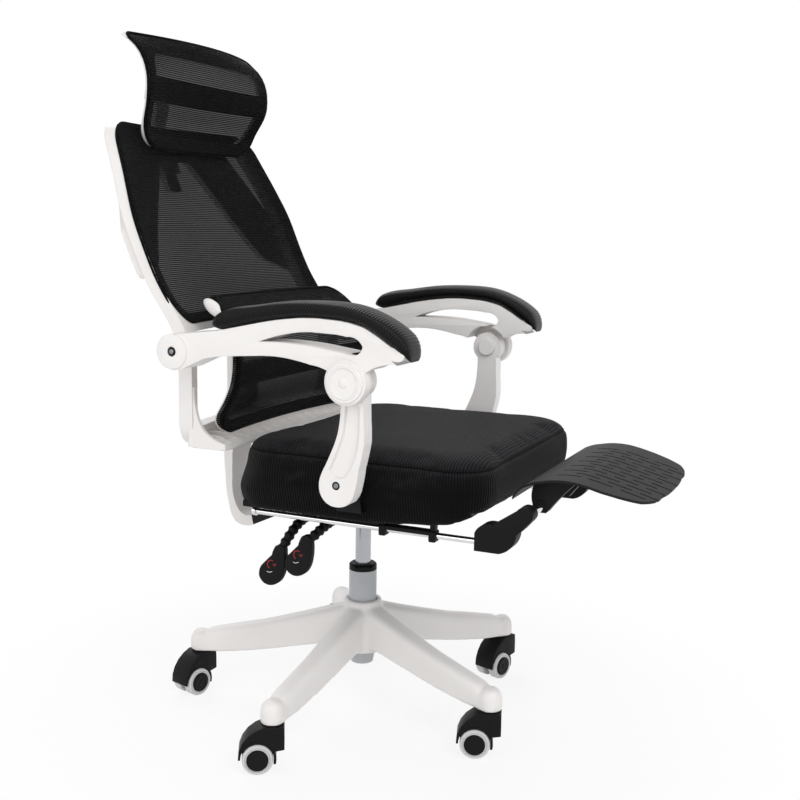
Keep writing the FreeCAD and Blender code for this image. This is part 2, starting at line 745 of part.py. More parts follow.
def arm(side, name):
    """The swept arm with its through slot, its two bosses, the cap and the pad."""
    back = size("arm_rear_back")
    high = size("arm_rear_high")
    joint = size("arm_joint_back")
    drop = size("arm_joint_high")
    inner = size("arm_inner") - 10
    outer = size("arm_outer")
    wide = outer - inner
    piece = Piece("arm_" + name)
    rim = [(back + 21, high + 17, 1), (back - 4, high + 27, 1), (back - 40, high + 32, 1)]
    rim += arm_top()
    rim += [(joint - 105, drop + 36, 1), (joint - 94, drop + 28, 1), (joint - 77, drop + 31, 1),
            (joint - 57, drop + 28, 1), (joint - 38, drop + 21, 1), (joint - 20, drop + 3),
            (joint + 22, drop + 6), (joint + 31, drop + 14, 1), (joint + 61, drop + 22, 1),
            (joint + 92, drop + 28, 1), (joint + 123, drop + 31, 1), (joint + 154, drop + 30, 1),
            (joint + 189, drop + 27, 1), (joint + 252, drop + 19, 1), (back - 22, high - 25, 1),
            (back - 3, high - 29, 1), (back + 20, high - 20, 1), (back + 28, high, 1)]
    piece.pad(piece.sketch("YZ", side * inner).flow(rim), wide, reverse=side < 0)
    slot = piece.sketch("YZ", side * inner).flow([
        (joint - 12, drop + 40, 1), (joint - 25, drop + 54, 1), (joint + 1, drop + 67, 1),
        (joint + 31, drop + 70, 1), (joint + 61, drop + 71, 1), (joint + 92, drop + 68, 1),
        (joint + 151, drop + 52), (joint + 92, drop + 52, 1), (joint + 61, drop + 50, 1),
        (joint + 31, drop + 46, 1), (joint + 7, drop + 43, 1)])
    piece.pocket(slot, wide, reverse=side > 0)
    piece.pad(piece.sketch("YZ", side * inner).circle(back, high, 28), wide + 2,
              reverse=side < 0)
    ring = size("arm_inner") + size("strut_thick") + 3
    piece.pad(piece.sketch("YZ", side * ring).circle(joint, drop, 34),
              size("boss_outer") - ring, reverse=side < 0)
    piece.pocket(piece.sketch("YZ", side * (inner - 1)).circle(joint, drop, 41),
                 ring - inner + 1, reverse=side > 0)
    bore = size("arm_bolt_radius") + size("running_gap")
    piece.pocket(piece.sketch("YZ", side * inner).circle(back, high, bore), wide + 3,
                 reverse=side > 0)
    piece.pocket(piece.sketch("YZ", side * (outer + 3)).circle(back, high, 8), 12,
                 reverse=side < 0)
    piece.pocket(piece.sketch("YZ", side * ring).circle(joint, drop, size("arm_bolt_radius")),
                 40, reverse=side > 0)
    cap = Piece("arm_cap_" + name)
    cap.pad(cap.sketch("YZ", side * size("boss_outer")).circle(joint, drop, 30),
            size("cap_outer") - size("boss_outer"), reverse=side < 0)
    cap.round(1.5, lambda edge: in_plane_of(edge, "x", side * size("cap_outer")))
    cap.pad(cap.sketch("YZ", side * size("boss_outer")).circle(
        joint, drop, size("arm_bolt_radius")),
        size("boss_outer") - size("arm_inner") + 6, reverse=side > 0)
    cap.pad(cap.sketch("YZ", side * (size("arm_inner") - 2)).circle(joint, drop, 15), 5,
            reverse=side > 0)
    pad = Piece("arm_pad_" + name)
    centre = (inner + outer) / 2
    half = size("pad_half_wide")
    crown = [(back - 410, high + 25, 1), (back - 397, high + 44, 1), (back - 376, high + 60, 1),
             (back - 347, high + 76, 1), (back - 318, high + 84, 1), (back - 279, high + 88, 1),
             (back - 240, high + 88, 1), (back - 202, high + 86, 1), (back - 171, high + 82, 1),
             (back - 139, high + 76, 1), (back - 100, high + 66, 1), (back - 80, high + 56, 1)]
    pad.pad(pad.sketch("YZ", side * (centre - half)).flow(
        [(back - 70, high + 44)] + arm_top() + [(back - 418, high + 16)] + crown), half * 2,
        reverse=side < 0)


housing()
seat()
side_brackets()
for side_sign, side_name in ((-1, "right"), (1, "left")):
    strut(side_sign, side_name)
    arm(side_sign, side_name)


# Back, lumbar panel and headrest. Each is a curved band cut to its front outline.

def join(kind, label, first, second, kept=True):
    """A boolean of two objects, kept as a piece unless it is only a step."""
    item = DOC.addObject(kind, label)
    if kind == "Part::MultiFuse":
        item.Shapes = [first, second]
        item.Refine = False
    else:
        item.Base = first
        item.Tool = second
    item.Label = label
    if kept:
        PIECES[label] = item
    return item


def band(label, line, front, thick, half):
    """A curved wall across the chair. A line point is (back, up, how much the centre sits back)."""
    piece = Piece(label, kept=False)
    sections = []
    for share in (-1.0, -0.5, 0.0, 0.5, 1.0):
        bulge = 1.0 - share * share
        face = [(back + hollow * bulge + front, up) for back, up, hollow in line]
        rear = [(back + thick, up) for back, up in face]
        sections.append(piece.sketch("YZ", half * share).wall(face, rear))
    piece.loft(sections)
    return piece.body


def cutter(label, outlines):
    """A prism along Y with the outlines of a front view, to cut a band to shape."""
    piece = Piece(label, kept=False)
    view = piece.sketch("XZ", 40.0)
    for corners in outlines:
        view.outline(corners)
    piece.pad(view, 460.0, reverse=True)
    return piece.body


def mirrored(corners):
    """Add the other half of an outline, given its right half from bottom to top."""
    left = [(-each[0],) + tuple(each[1:]) for each in corners]
    return corners + left[::-1]


def back_line():
    """The front face of the back at its side edges."""
    hollow = size("back_hollow")
    foot = size("arm_rear_back") + size("post_setback")
    rows = [(0, 496), (0, 530), (0, 565), (0, 600), (0, 632), (2, 660), (12, 692), (34, 727), (59, 763), (82, 807), (109, 871),
            (137, 945), (168, 1020), (174, 1036)]
    return [(foot + back, Size.of(up), hollow) for back, up in rows]


def back():
    """The moulded back frame, its rear support, the mesh and the J-shaped bar."""
    half = size("back_half_wide") + 4
    ring = size("frame_ring_wide")
    thick = size("back_thick")
    mesh = size("mesh_thick")
    side = band("back_frame_side", back_line(), 0.0, thick, half)
    outer = mirrored([(half, 498, 45), (half, 700, 60), (half - 2, 880, 200), (208, 1034, 50)])
    upper = mirrored([(half - ring - 4, 716, 30), (half - ring - 3, 880, 180),
                      (208 - ring, 1034 - ring, 34)])
    lower = mirrored([(half - ring, 528, 30), (half - ring, 688, 20)])
    view = cutter("back_frame_view", [outer, upper, lower])
    moulding = join("Part::Common", "back_frame_moulding", side, view, kept=False)
    extra = Piece("back_frame_tray", kept=False)
    extra.pad(extra.sketch("XY", 499).outline(mirrored([
        (half - 2, 128, 10), (half - 2, 205, 30), (130, 234)])), 6)
    rib = extra.sketch("YZ", -216).outline([(134, 503), (228, 503), (228, 518), (160, 514)])
    fin = extra.pad(rib, 2.5)
    DOC.recompute()
    row = extra.body.newObject("PartDesign::LinearPattern", "back_frame_fins")
    row.Originals = [fin]
    axis = [each for each in extra.body.Origin.OriginFeatures if each.Role == "X_Axis"][0]
    row.Direction = (axis, [""])
    row.Length = 432.0 - 2.5
    row.Occurrences = 15
    extra.body.Tip = row
    for sign in (-1, 1):
        extra.pad(extra.sketch("YZ", sign * (half - 8)).flow([
            (128, 500), (200, 500), (200, 600), (188, 600), (184, 560, 1), (172, 532, 1),
            (150, 516, 1), (128, 510)]), 6, reverse=sign < 0)
        ear_in = half - ring - 2
        extra.pad(extra.sketch("YZ", sign * ear_in).circle(
            size("arm_rear_back"), size("arm_rear_high"), 24),
            size("arm_inner") - 10 - size("body_gap") - ear_in, reverse=sign < 0)
    extra.pocket(extra.sketch("YZ").circle(
        size("arm_rear_back"), size("arm_rear_high"), size("arm_bolt_radius")), 700, middle=True)
    join("Part::MultiFuse", "back_frame", moulding, extra.body)
    skin = band("back_mesh_side", back_line(), -mesh, mesh, half)
    cloth = cutter("back_mesh_view", [mirrored([
        (half - 8, 704, 40), (half - 9, 880, 190), (200, 1026, 44)])])
    join("Part::Common", "back_mesh", skin, cloth)
    rear = band("back_support_side", back_line(), thick, 14.0, half)
    arms = cutter("back_support_view", [mirrored([
        (170, 800, 10), (248, 768, 10), (248, 850, 20), (150, 1014, 16)])[:4] + [
        (-150, 1014, 16), (-248, 850, 20), (-248, 768, 10), (-170, 800, 10), (-46, 978, 12),
        (46, 978, 12)]])
    join("Part::Common", "back_support", rear, arms)
    wide = size("spine_half_wide")
    bar = Piece("j_bar")
    centre = (size("arm_rear_back") + size("post_setback") + size("back_hollow")
              + thick)
    bar.pad(bar.sketch("YZ").flow([
        (212, 334), (234, 331, 1), (249, 345, 1), (258, 400, 1), (257, 450, 1),
        (centre + 0.3, 506), (centre + 0.3, 640), (centre + 17, 640), (centre + 17, 540),
        (276, 450, 1), (273, 400, 1), (264, 340, 1), (252, 316, 1), (232, 310, 1), (208, 316)]),
        wide * 2, middle=True)
    bolt = Piece("arm_bolts")
    radius = size("arm_bolt_radius")
    spot = (size("arm_rear_back"), size("arm_rear_high"))
    tip = half - ring - 2
    head = size("arm_outer") - 9
    for sign in (-1, 1):
        bolt.pad(bolt.sketch("YZ", sign * tip).circle(*spot, radius), head - tip,
                 reverse=sign < 0)
        bolt.pad(bolt.sketch("YZ", sign * head).circle(*spot, 8 - size("body_gap")), 5,
                 reverse=sign < 0)
        bolt.pocket(bolt.sketch("YZ", sign * (head + 5)).circle(*spot, 3), 3,
                    reverse=sign < 0)


def lumbar_line():
    """The front face of the lumbar panel at its side edges."""
    hollow = size("lumbar_hollow")
    rows = [(140, 518), (148, 541), (134, 570), (117, 605), (111, 651), (121, 690), (143, 718),
            (176, 745)]
    return [(Size.of(back), Size.of(up), hollow) for back, up in rows]


def lumbar():
    """The lumbar panel: a rimmed frame with its mesh, its carrier and the guide it slides on."""
    half = size("lumbar_half_wide")
    mesh = size("mesh_thick")
    side = band("lumbar_frame_side", lumbar_line(), 0.0, size("lumbar_thick"), half)
    view = cutter("lumbar_frame_view", [
        mirrored([(half - 6, 522, 40), (half, 650, 140), (half - 26, 744, 34)]),
        mirrored([(half - 24, 540, 26), (half - 18, 650, 120), (half - 42, 728, 22)])])
    rim = join("Part::Common", "lumbar_rim", side, view, kept=False)
    bar_side = band("lumbar_bar_side", lumbar_line(), 3.0, size("lumbar_thick") - 3, half)
    bar_view = cutter("lumbar_bar_view", [mirrored([(half - 12, 598), (half - 12, 638)])])
    bar = join("Part::Common", "lumbar_bar", bar_side, bar_view, kept=False)
    join("Part::MultiFuse", "lumbar_frame", rim, bar)
    skin = band("lumbar_mesh_side", lumbar_line(), -mesh, mesh, half)
    cloth = cutter("lumbar_mesh_view", [
        mirrored([(half - 12, 528, 34), (half - 6, 650, 130), (half - 32, 738, 28)])])
    join("Part::Common", "lumbar_mesh", skin, cloth)
    gap = size("body_gap")
    rear = (size("arm_rear_back") + size("post_setback") + size("back_hollow")
            + size("back_thick"))
    guide = Piece("lumbar_guide")
    guide.pad(guide.sketch("XY", 536).outline([
        (-24, rear - 14), (24, rear - 14), (24, rear - 6), (14, rear - 6), (14, rear + 0.3),
        (-14, rear + 0.3), (-14, rear - 6), (-24, rear - 6)]), 146)
    carrier = Piece("lumbar_carrier")
    carrier.pad(carrier.sketch("XY", 600).outline([
        (-34, 148), (34, 148), (34, rear - gap - 1), (14 + gap, rear - gap - 1),
        (14 + gap, rear - 6 + gap), (24 + gap, rear - 6 + gap), (24 + gap, rear - 14 - gap),
        (-24 - gap, rear - 14 - gap), (-24 - gap, rear - 6 + gap), (-14 - gap, rear - 6 + gap),
        (-14 - gap, rear - gap - 1), (-34, rear - gap - 1)]), 36)


def head_line():
    """The front face of the headrest at its side edges, with the wings swept back at the top."""
    rows = [(333, 990, 30), (328, 1044, 28), (321, 1063, 24), (316, 1086, 18), (316, 1112, 8),
            (322, 1135, -2), (335, 1156, -12), (354, 1172, -26), (376, 1184, -40)]
    scale = size("head_hollow") / 34.0
    return [(Size.of(back), Size.of(up), scale * hollow) for back, up, hollow in rows]


def headrest():
    """The headrest on its tilting bracket, and the post that slides in the back's sleeve."""
    half = size("head_half_wide")
    mesh = size("mesh_thick")
    side = band("headrest_frame_side", head_line(), 0.0, 8.0, half)
    view = cutter("headrest_frame_view", [
        mirrored([(half - 30, 996, 50), (half - 4, 1080, 90), (half, 1180, 8)]),
        mirrored([(half - 46, 1018, 34), (half - 26, 1080, 70), (half - 26, 1150, 20)])])
    rim = join("Part::Common", "headrest_rim", side, view, kept=False)
    bar_side = band("headrest_bar_side", head_line(), 3.0, 9.0, half)
    bar_view = cutter("headrest_bar_view", [mirrored([(half - 10, 1072), (half - 10, 1112)])])
    bar = join("Part::Common", "headrest_bar", bar_side, bar_view, kept=False)
    join("Part::MultiFuse", "headrest_frame", rim, bar)
    skin = band("headrest_mesh_side", head_line(), -mesh, mesh, half)
    cloth = cutter("headrest_mesh_view", [
        mirrored([(half - 34, 1000, 46), (half - 8, 1080, 88), (half - 4, 1176, 8)])])
    join("Part::Common", "headrest_mesh", skin, cloth)
    gap = size("body_gap")
    pin = (436, 1098)
    lean = (0.371, 0.928)
    foot = (399.0, 925.0)

    def along(distance, out):
        """A point beside the post's front face, by its way up the lean and behind it."""
        return (foot[0] + lean[0] * distance + lean[1] * out,
                foot[1] + lean[1] * distance - lean[0] * out)

    post = Piece("headrest_post")
    post.pad(post.sketch("YZ").flow([
        along(0, 0), along(112, 0), (430, 1060, 1), (426, 1090, 1), (428, 1104, 1),
        (436, 1108, 1), (444, 1104, 1), (446, 1092, 1), (452, 1056, 1), along(112, 12),
        along(0, 12)]), 36, middle=True)
    post.pocket(post.sketch("YZ").circle(*pin, 4 + size("running_gap")), 60, middle=True)
    sleeve = Piece("headrest_sleeve")
    sleeve.pad(sleeve.sketch("YZ").outline([
        along(34, -4.0), along(92, -4.0), along(88, 17), along(38, 17)]), 56, middle=True)
    sleeve.pocket(sleeve.sketch("YZ").outline([
        along(20, -gap), along(110, -gap), along(110, 12 + gap), along(20, 12 + gap)]),
        36 + 2 * gap, middle=True)
    bracket = Piece("headrest_bracket")
    for sign in (-1, 1):
        bracket.pad(bracket.sketch("YZ", sign * (18 + gap)).flow([
            (346, 1074), (400, 1082), (424, 1088, 1), (436, 1087, 1), (447, 1098, 1),
            (436, 1109, 1), (424, 1108, 1), (400, 1106), (346, 1112)]), 8, reverse=sign < 0)
    bracket.pad(bracket.sketch("YZ").outline([
        (343, 1072), (352, 1072), (352, 1112), (343, 1112)]), 72, middle=True)
    bracket.pad(bracket.sketch("YZ").circle(*pin, 4), 52, middle=True)


# Footrest.

def footrest():
    """Rails, guides, end blocks, crossbar and the slotted plate that turns on it."""
    rail = size("rail_radius")
    high = size("rail_high")
    spread = size("rail_spread")
    front = size("hinge_front")
    hinge = size("hinge_high")
    gap = size("body_gap")
    pan = size("seat_pan_low")
    guide = Piece("footrest_guides")
    rod = Piece("footrest_rails")
    block = Piece("footrest_blocks")
    for side in (-1, 1):
        middle = side * spread
        guide.pad(guide.sketch("YZ", middle).flow([
            (-134, pan + 1.4), (-134, high - 4), (-142, high - 10, 1), (-152, high - 15, 1),
            (-162, high - 10, 1), (-204, high - 10, 1), (-214, high - 15, 1),
            (-224, high - 10, 1), (-232, high - 4), (-232, pan + 11.2)]), 24, middle=True)
        bore = guide.sketch("XZ", -300).circle(middle, high, rail + size("running_gap"))
        guide.pocket(bore, 300)
        rod.pad(rod.sketch("XZ", size("rail_rear")).circle(middle, high, rail),
                size("rail_rear") - front - 47)
        rod.pad(rod.sketch("XZ", size("rail_rear")).circle(middle, high, rail + 2.5), 6)
        block.pad(block.sketch("YZ", middle).flow([
            (front + 79, high - 12), (front + 79, high + 16), (front + 72, high + 26, 1),
            (front + 50, high + 32), (front + 13, hinge + 6), (front - 2, hinge + 13, 1),
            (front - 13, hinge - 2, 1), (front - 6, hinge - 12, 1), (front + 12, high + 20),
            (front + 20, high, 1), (front + 40, high - 12)]), 26, middle=True)
        block.pocket(block.sketch("XZ", front + 79).circle(middle, high, rail), 32,
                     reverse=True)
        block.pocket(block.sketch("YZ", middle - side * 14).circle(
            front, hinge, size("crossbar_radius")), 22, reverse=side > 0)
    bar = Piece("footrest_crossbar")
    bar.pad(bar.sketch("YZ").circle(front, hinge, size("crossbar_radius")),
            (spread - 5) * 2, middle=True)
    half = size("plate_half_wide")
    skin = size("plate_skin")
    plate = Piece("footrest_plate")
    top = [(front + 35, hinge + 17), (front + 16, hinge + 38, 1), (front - 11, hinge + 47, 1),
           (front - 36, hinge + 51, 1), (front - 66, hinge + 50, 1), (front - 98, hinge + 43, 1),
           (front - 130, hinge + 35, 1), (front - 178, hinge + 22)]
    under = [(each[0], each[1] - skin) + tuple(each[2:]) for each in top]
    plate.pad(plate.sketch("YZ").flow(top + under[::-1]), half * 2, middle=True)
    plate.pocket(plate.sketch("XY", hinge + 60).flow(
        [(-half - 5, front - 60), (-half, front - 60), (-half + 4, front - 120, 1),
         (-half + 22, front - 158, 1), (-half + 90, front - 174, 1), (0, front - 178, 1),
         (half - 90, front - 174, 1), (half - 22, front - 158, 1), (half - 4, front - 120, 1),
         (half, front - 60), (half + 5, front - 60), (half + 5, front - 190),
         (-half - 5, front - 190)]), 100)
    slot_wide = 4.5
    slot_long = 38.0
    for row in range(3):
        start = front - 22 - row * 50
        for shift, number in ((0.0, 7), (0.5, 6)):
            first = -130 + shift * 40
            cut = plate.pocket(plate.sketch("XY", hinge + 60).outline([
                (first, start - shift * 50), (first + slot_wide, start - shift * 50),
                (first + slot_wide, start - shift * 50 - slot_long),
                (first, start - shift * 50 - slot_long)]), 100)
            line = plate.body.newObject("PartDesign::LinearPattern", "plate_slots")
            line.Originals = [cut]
            axis = [each for each in plate.body.Origin.OriginFeatures
                    if each.Role == "X_Axis"][0]
            line.Direction = (axis, [""])
            line.Length = 40.0 * (number - 1)
            line.Occurrences = number
            plate.body.Tip = line
    clamp = Piece("footrest_plate_clamp")
    bore = size("crossbar_radius") + size("running_gap")
    for place in (-120.0, 0.0, 120.0):
        clamp.pad(clamp.sketch("YZ", place).flow([
            (front + 8, hinge - 12), (front + 14, hinge, 1), (front + 12, hinge + 34),
            (front - 14, hinge + 42), (front - 36, hinge + 46), (front - 60, hinge + 45),
            (front - 14, hinge - 4, 1), (front - 8, hinge - 12)]), 24, middle=True)
    clamp.pocket(clamp.sketch("YZ").circle(front, hinge, bore), 400, middle=True)


def bracket():
    """The black arm that turns on the recline pin and holds the J-shaped bar."""
    piece = Piece("recline_bracket")
    piece.pad(piece.sketch("YZ").flow([
        (72, 374), (78, 389, 1), (92, 393, 1), (110, 388), (212, 334), (208, 316), (135, 350),
        (90, 357, 1), (77, 361, 1)]), 80, middle=True)
    piece.pocket(piece.sketch("YZ").circle(size("pivot_back"), size("pivot_high"),
                 size("pivot_pin_radius") + size("running_gap")), 90, middle=True)


# Levers: a stiff ribbed hose turns on a stub of the housing and carries a flat paddle.

def ring_at(spot, heading, radius):
    """A circle square to a heading, with its start turned towards the back of the chair."""
    axis = FreeCAD.Vector(0, 1, 0)
    circle = Part.Circle(spot, heading, radius)
    steady = heading.cross(axis).cross(heading)
    circle.XAxis = steady
    return Part.Wire(circle.toShape())


def ribbed_hose(label, points, ribs):
    """A hose with raised ribs and a bore, along a smooth line through its points."""
    line = Part.BSplineCurve()
    line.interpolate([FreeCAD.Vector(*spot) for spot in points])
    outer = SIZES["hose_radius"]
    bore = SIZES["hose_bore"]
    steps = ribs * 4
    spots = line.discretize(Number=steps + 1)
    rings = []
    cores = []
    for place, spot in enumerate(spots):
        before = spots[max(place - 1, 0)]
        after = spots[min(place + 1, steps)]
        heading = (after - before).normalize()
        raised = outer if place % 4 in (1, 2) else outer - 1.8
        rings.append(ring_at(spot, heading, raised))
        if place % 4 == 0:
            cores.append(ring_at(spot, heading, bore))
    solid = Part.makeLoft(rings, True, True)
    core = Part.makeLoft(cores, True, True)
    hose = DOC.addObject("Part::Feature", label)
    hose.Label = label
    hose.Shape = solid.cut(core)
    PIECES[label] = hose
    pitch = line.length() / ribs
    print("%s: %.0f mm long, ribs %.2f mm apart" % (label, line.length(), pitch))
    return spots[-1]


def lever(name, spots, paddle):
    """One lever: its hose, which turns on a stub of the housing, and its paddle."""
    back = SIZES[name + "_lever_back"]
    high = SIZES["lever_high"]
    half = SIZES["housing_half_wide"]
    end = ribbed_hose(name + "_lever_hose", [(-half - reach, back, high) for reach in (1, 8, 16, 26)]
                      + spots, 13)
    thick = size("paddle_thick")
    piece = Piece(name + "_lever_paddle")
    piece.pad(piece.sketch("YZ", end.x).flow(
        [(end.y + across, end.z + up, 1) for across, up in paddle]), thick, middle=True)


def levers():
    """The recline lever at the back and the height lever in front of it."""
    paddle = [(-9, -2), (-8, 6), (0, 9), (8, 6), (14, -8), (32, -26), (36, -42), (27, -53),
              (12, -54), (0, -46), (-8, -26)]
    lever("recline", [(-120, 40, 376), (-160, 44, 366), (-180, 52, 345), (-188, 62, 322)],
          paddle)
    lever("height", [(-120, -14, 377), (-160, -11, 372), (-182, -3, 360), (-190, 10, 346)],
          paddle)


back()
lumbar()
headrest()
bracket()
footrest()
levers()


def finish():
    """Check every object and write each piece to its own file."""
    DOC.recompute()
    for item in DOC.Objects:
        if "Invalid" in item.State or "Error" in item.State:
            raise ValueError("%s did not build: %s" % (item.Label, item.State))
    for label, piece in PIECES.items():
        if piece.Shape.isNull() or not piece.Shape.isValid():
            raise ValueError("%s has no valid shape" % label)
    for label, piece in PIECES.items():
        piece.Shape.exportStep("parts/%s.step" % label)
        print("%s: %d solids, %.0f mm3"
              % (label, len(piece.Shape.Solids), piece.Shape.Volume))


finish()
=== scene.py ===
import json
import logging
import math
from contextlib import contextmanager
from dataclasses import dataclass
from enum import Enum
from typing import Any, Callable, Iterator, Sequence

import bpy
import numpy as np
from mathutils import Matrix, Vector
from mathutils.bvhtree import BVHTree

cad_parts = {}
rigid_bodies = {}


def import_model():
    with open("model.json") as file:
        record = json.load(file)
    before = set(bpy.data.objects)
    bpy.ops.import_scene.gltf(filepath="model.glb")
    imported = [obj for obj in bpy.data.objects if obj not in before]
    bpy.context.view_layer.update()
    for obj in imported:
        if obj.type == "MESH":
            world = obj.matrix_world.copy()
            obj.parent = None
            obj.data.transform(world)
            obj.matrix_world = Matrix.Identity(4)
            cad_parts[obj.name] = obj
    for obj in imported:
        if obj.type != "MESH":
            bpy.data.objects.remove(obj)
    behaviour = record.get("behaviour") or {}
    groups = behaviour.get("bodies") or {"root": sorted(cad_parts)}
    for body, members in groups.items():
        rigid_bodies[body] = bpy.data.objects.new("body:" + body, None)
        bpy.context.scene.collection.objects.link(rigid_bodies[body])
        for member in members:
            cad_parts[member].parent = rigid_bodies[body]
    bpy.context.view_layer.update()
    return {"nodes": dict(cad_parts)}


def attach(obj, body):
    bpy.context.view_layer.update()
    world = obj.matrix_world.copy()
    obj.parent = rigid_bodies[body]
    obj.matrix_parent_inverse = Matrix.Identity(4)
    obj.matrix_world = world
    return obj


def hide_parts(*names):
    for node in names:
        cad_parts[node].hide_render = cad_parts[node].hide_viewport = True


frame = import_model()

LOG = logging.getLogger("reclining_chair")
MM = 0.001
PER_METRE = 1000.0
MERGE_M = 0.00005
AXIS_MERGE_M = 0.00001
TINY = 1e-9
SIDES = ("left", "right")
CASTERS = range(1, 6)

Item = bpy.types.Object
Socket = bpy.types.NodeSocket
Line = Sequence[tuple[float, float]]
Corners = Sequence[tuple[float, float, float]]


# Colours and shader nodes.

def linear(code: str) -> tuple[float, float, float, float]:
    """Turn an sRGB hex colour into linear values.

    Args:
        code: A hash and six hex digits.

    Returns:
        Linear red, green and blue, and full opacity.
    """
    values = [int(code[place:place + 2], 16) / 255.0 for place in (1, 3, 5)]
    red, green, blue = (
        part / 12.92 if part <= 0.04045 else ((part + 0.055) / 1.055) ** 2.4 for part in values)
    return red, green, blue, 1.0


def add_node(tree: bpy.types.NodeTree, kind: str, inputs: dict[Any, Any] | None = None,
             feeds: dict[Any, Socket] | None = None, **settings: Any) -> bpy.types.Node:
    """Add one shader node with its settings and links.

    Args:
        tree: Tree that gets the node.
        kind: Name of the node type.
        inputs: Input socket name or number, with a value or the socket that feeds it.
        feeds: Output socket name or number, with the socket that it feeds.
        **settings: Properties of the node.

    Returns:
        The new node.
    """
    node = tree.nodes.new(kind)
    for name, value in settings.items():
        setattr(node, name, value)
    for name, value in (inputs or {}).items():
        if isinstance(value, Socket):
            tree.links.new(value, node.inputs[name])
        else:
            node.inputs[name].default_value = value
    for name, socket in (feeds or {}).items():
        tree.links.new(node.outputs[name], socket)
    return node


def new_material(name: str, values: dict[str, Any]) -> tuple[
        bpy.types.Material, bpy.types.NodeTree, bpy.types.NodeInputs]:
    """Start a material.

    Args:
        name: Name of the real material.
        values: Inputs of its main shader that are the same all over.

    Returns:
        The material, its tree and the inputs of its main shader.
    """
    material = bpy.data.materials.new(name)
    material.use_nodes = True
    tree = material.node_tree
    shader = tree.nodes["Principled BSDF"].inputs
    for socket, value in values.items():
        shader[socket].default_value = value
    return material, tree, shader


class Streak(Enum):
    """Direction of the fine lines that a tool leaves on metal."""

    NONE = (1.0, 1.0, 1.0)
    AROUND_COLUMN = (1.0, 1.0, 60.0)
    ALONG_RAIL = (40.0, 1.0, 40.0)


@dataclass(frozen=True)
class Moulding:
    """A moulded plastic with the fine grain of its steel mould and softened edges."""

    name: str
    colour: str
    shade: str
    roughness: float
    grain_mm: float
    grain_depth_mm: float
    edge_mm: float = 1.5
    gleam: float = 0.5

    def make(self) -> bpy.types.Material:
        """Build the material.

        Returns:
            The material.
        """
        material, tree, shader = new_material(self.name, {
            "IOR": 1.49, "Specular IOR Level": self.gleam})
        place = add_node(tree, "ShaderNodeTexCoord").outputs["Object"]
        cloud = add_node(tree, "ShaderNodeTexNoise", {
            "Vector": place, "Scale": 9.0, "Detail": 3.0, "Roughness": 0.6}).outputs["Fac"]
        grain = add_node(tree, "ShaderNodeTexNoise", {
            "Vector": place, "Scale": PER_METRE / self.grain_mm, "Detail": 2.0,
            "Roughness": 0.5}).outputs["Fac"]
        edge = add_node(tree, "ShaderNodeBevel", {"Radius": self.edge_mm * MM}, samples=4)
        add_node(tree, "ShaderNodeMix", {
            "Factor": cloud, 6: linear(self.colour), 7: linear(self.shade)},
            {2: shader["Base Color"]}, data_type="RGBA")
        add_node(tree, "ShaderNodeBump", {
            "Height": grain, "Strength": 0.5, "Distance": self.grain_depth_mm * MM,
            "Normal": edge.outputs["Normal"]}, {"Normal": shader["Normal"]})
        add_node(tree, "ShaderNodeMapRange", {
            "Value": grain, "To Min": self.roughness - 0.06, "To Max": self.roughness + 0.06},
            {"Result": shader["Roughness"]})
        return material


@dataclass(frozen=True)
class Steel:
    """A metal with the lines or the orange peel that its finishing leaves."""

    name: str
    colour: str
    metallic: float
    roughness: float
    gleam: float = 0.5
    streak: Streak = Streak.NONE
    detail_mm: float = 1.0
    depth_mm: float = 0.01

    def make(self) -> bpy.types.Material:
        """Build the material.

        Returns:
            The material.
        """
        material, tree, shader = new_material(self.name, {
            "Metallic": self.metallic, "Specular IOR Level": self.gleam})
        place = add_node(tree, "ShaderNodeTexCoord").outputs["Object"]
        stretched = add_node(tree, "ShaderNodeMapping", {
            "Vector": place, "Scale": self.streak.value}).outputs["Vector"]
        marks = add_node(tree, "ShaderNodeTexNoise", {
            "Vector": stretched, "Scale": PER_METRE / self.detail_mm / max(self.streak.value),
            "Detail": 3.0, "Roughness": 0.6}).outputs["Fac"]
        smear = add_node(tree, "ShaderNodeTexNoise", {
            "Vector": place, "Scale": 25.0, "Detail": 2.0}).outputs["Fac"]
        colour = linear(self.colour)
        dark = tuple(0.82 * part for part in colour[:3]) + (1.0,)
        add_node(tree, "ShaderNodeMix", {"Factor": smear, 6: colour, 7: dark},
                 {2: shader["Base Color"]}, data_type="RGBA")
        add_node(tree, "ShaderNodeMapRange", {
            "Value": marks, "To Min": self.roughness * 0.75, "To Max": self.roughness * 1.3},
            {"Result": shader["Roughness"]})
        add_node(tree, "ShaderNodeBump", {
            "Height": marks, "Strength": 0.5, "Distance": self.depth_mm * MM},
            {"Normal": shader["Normal"]})
        return material


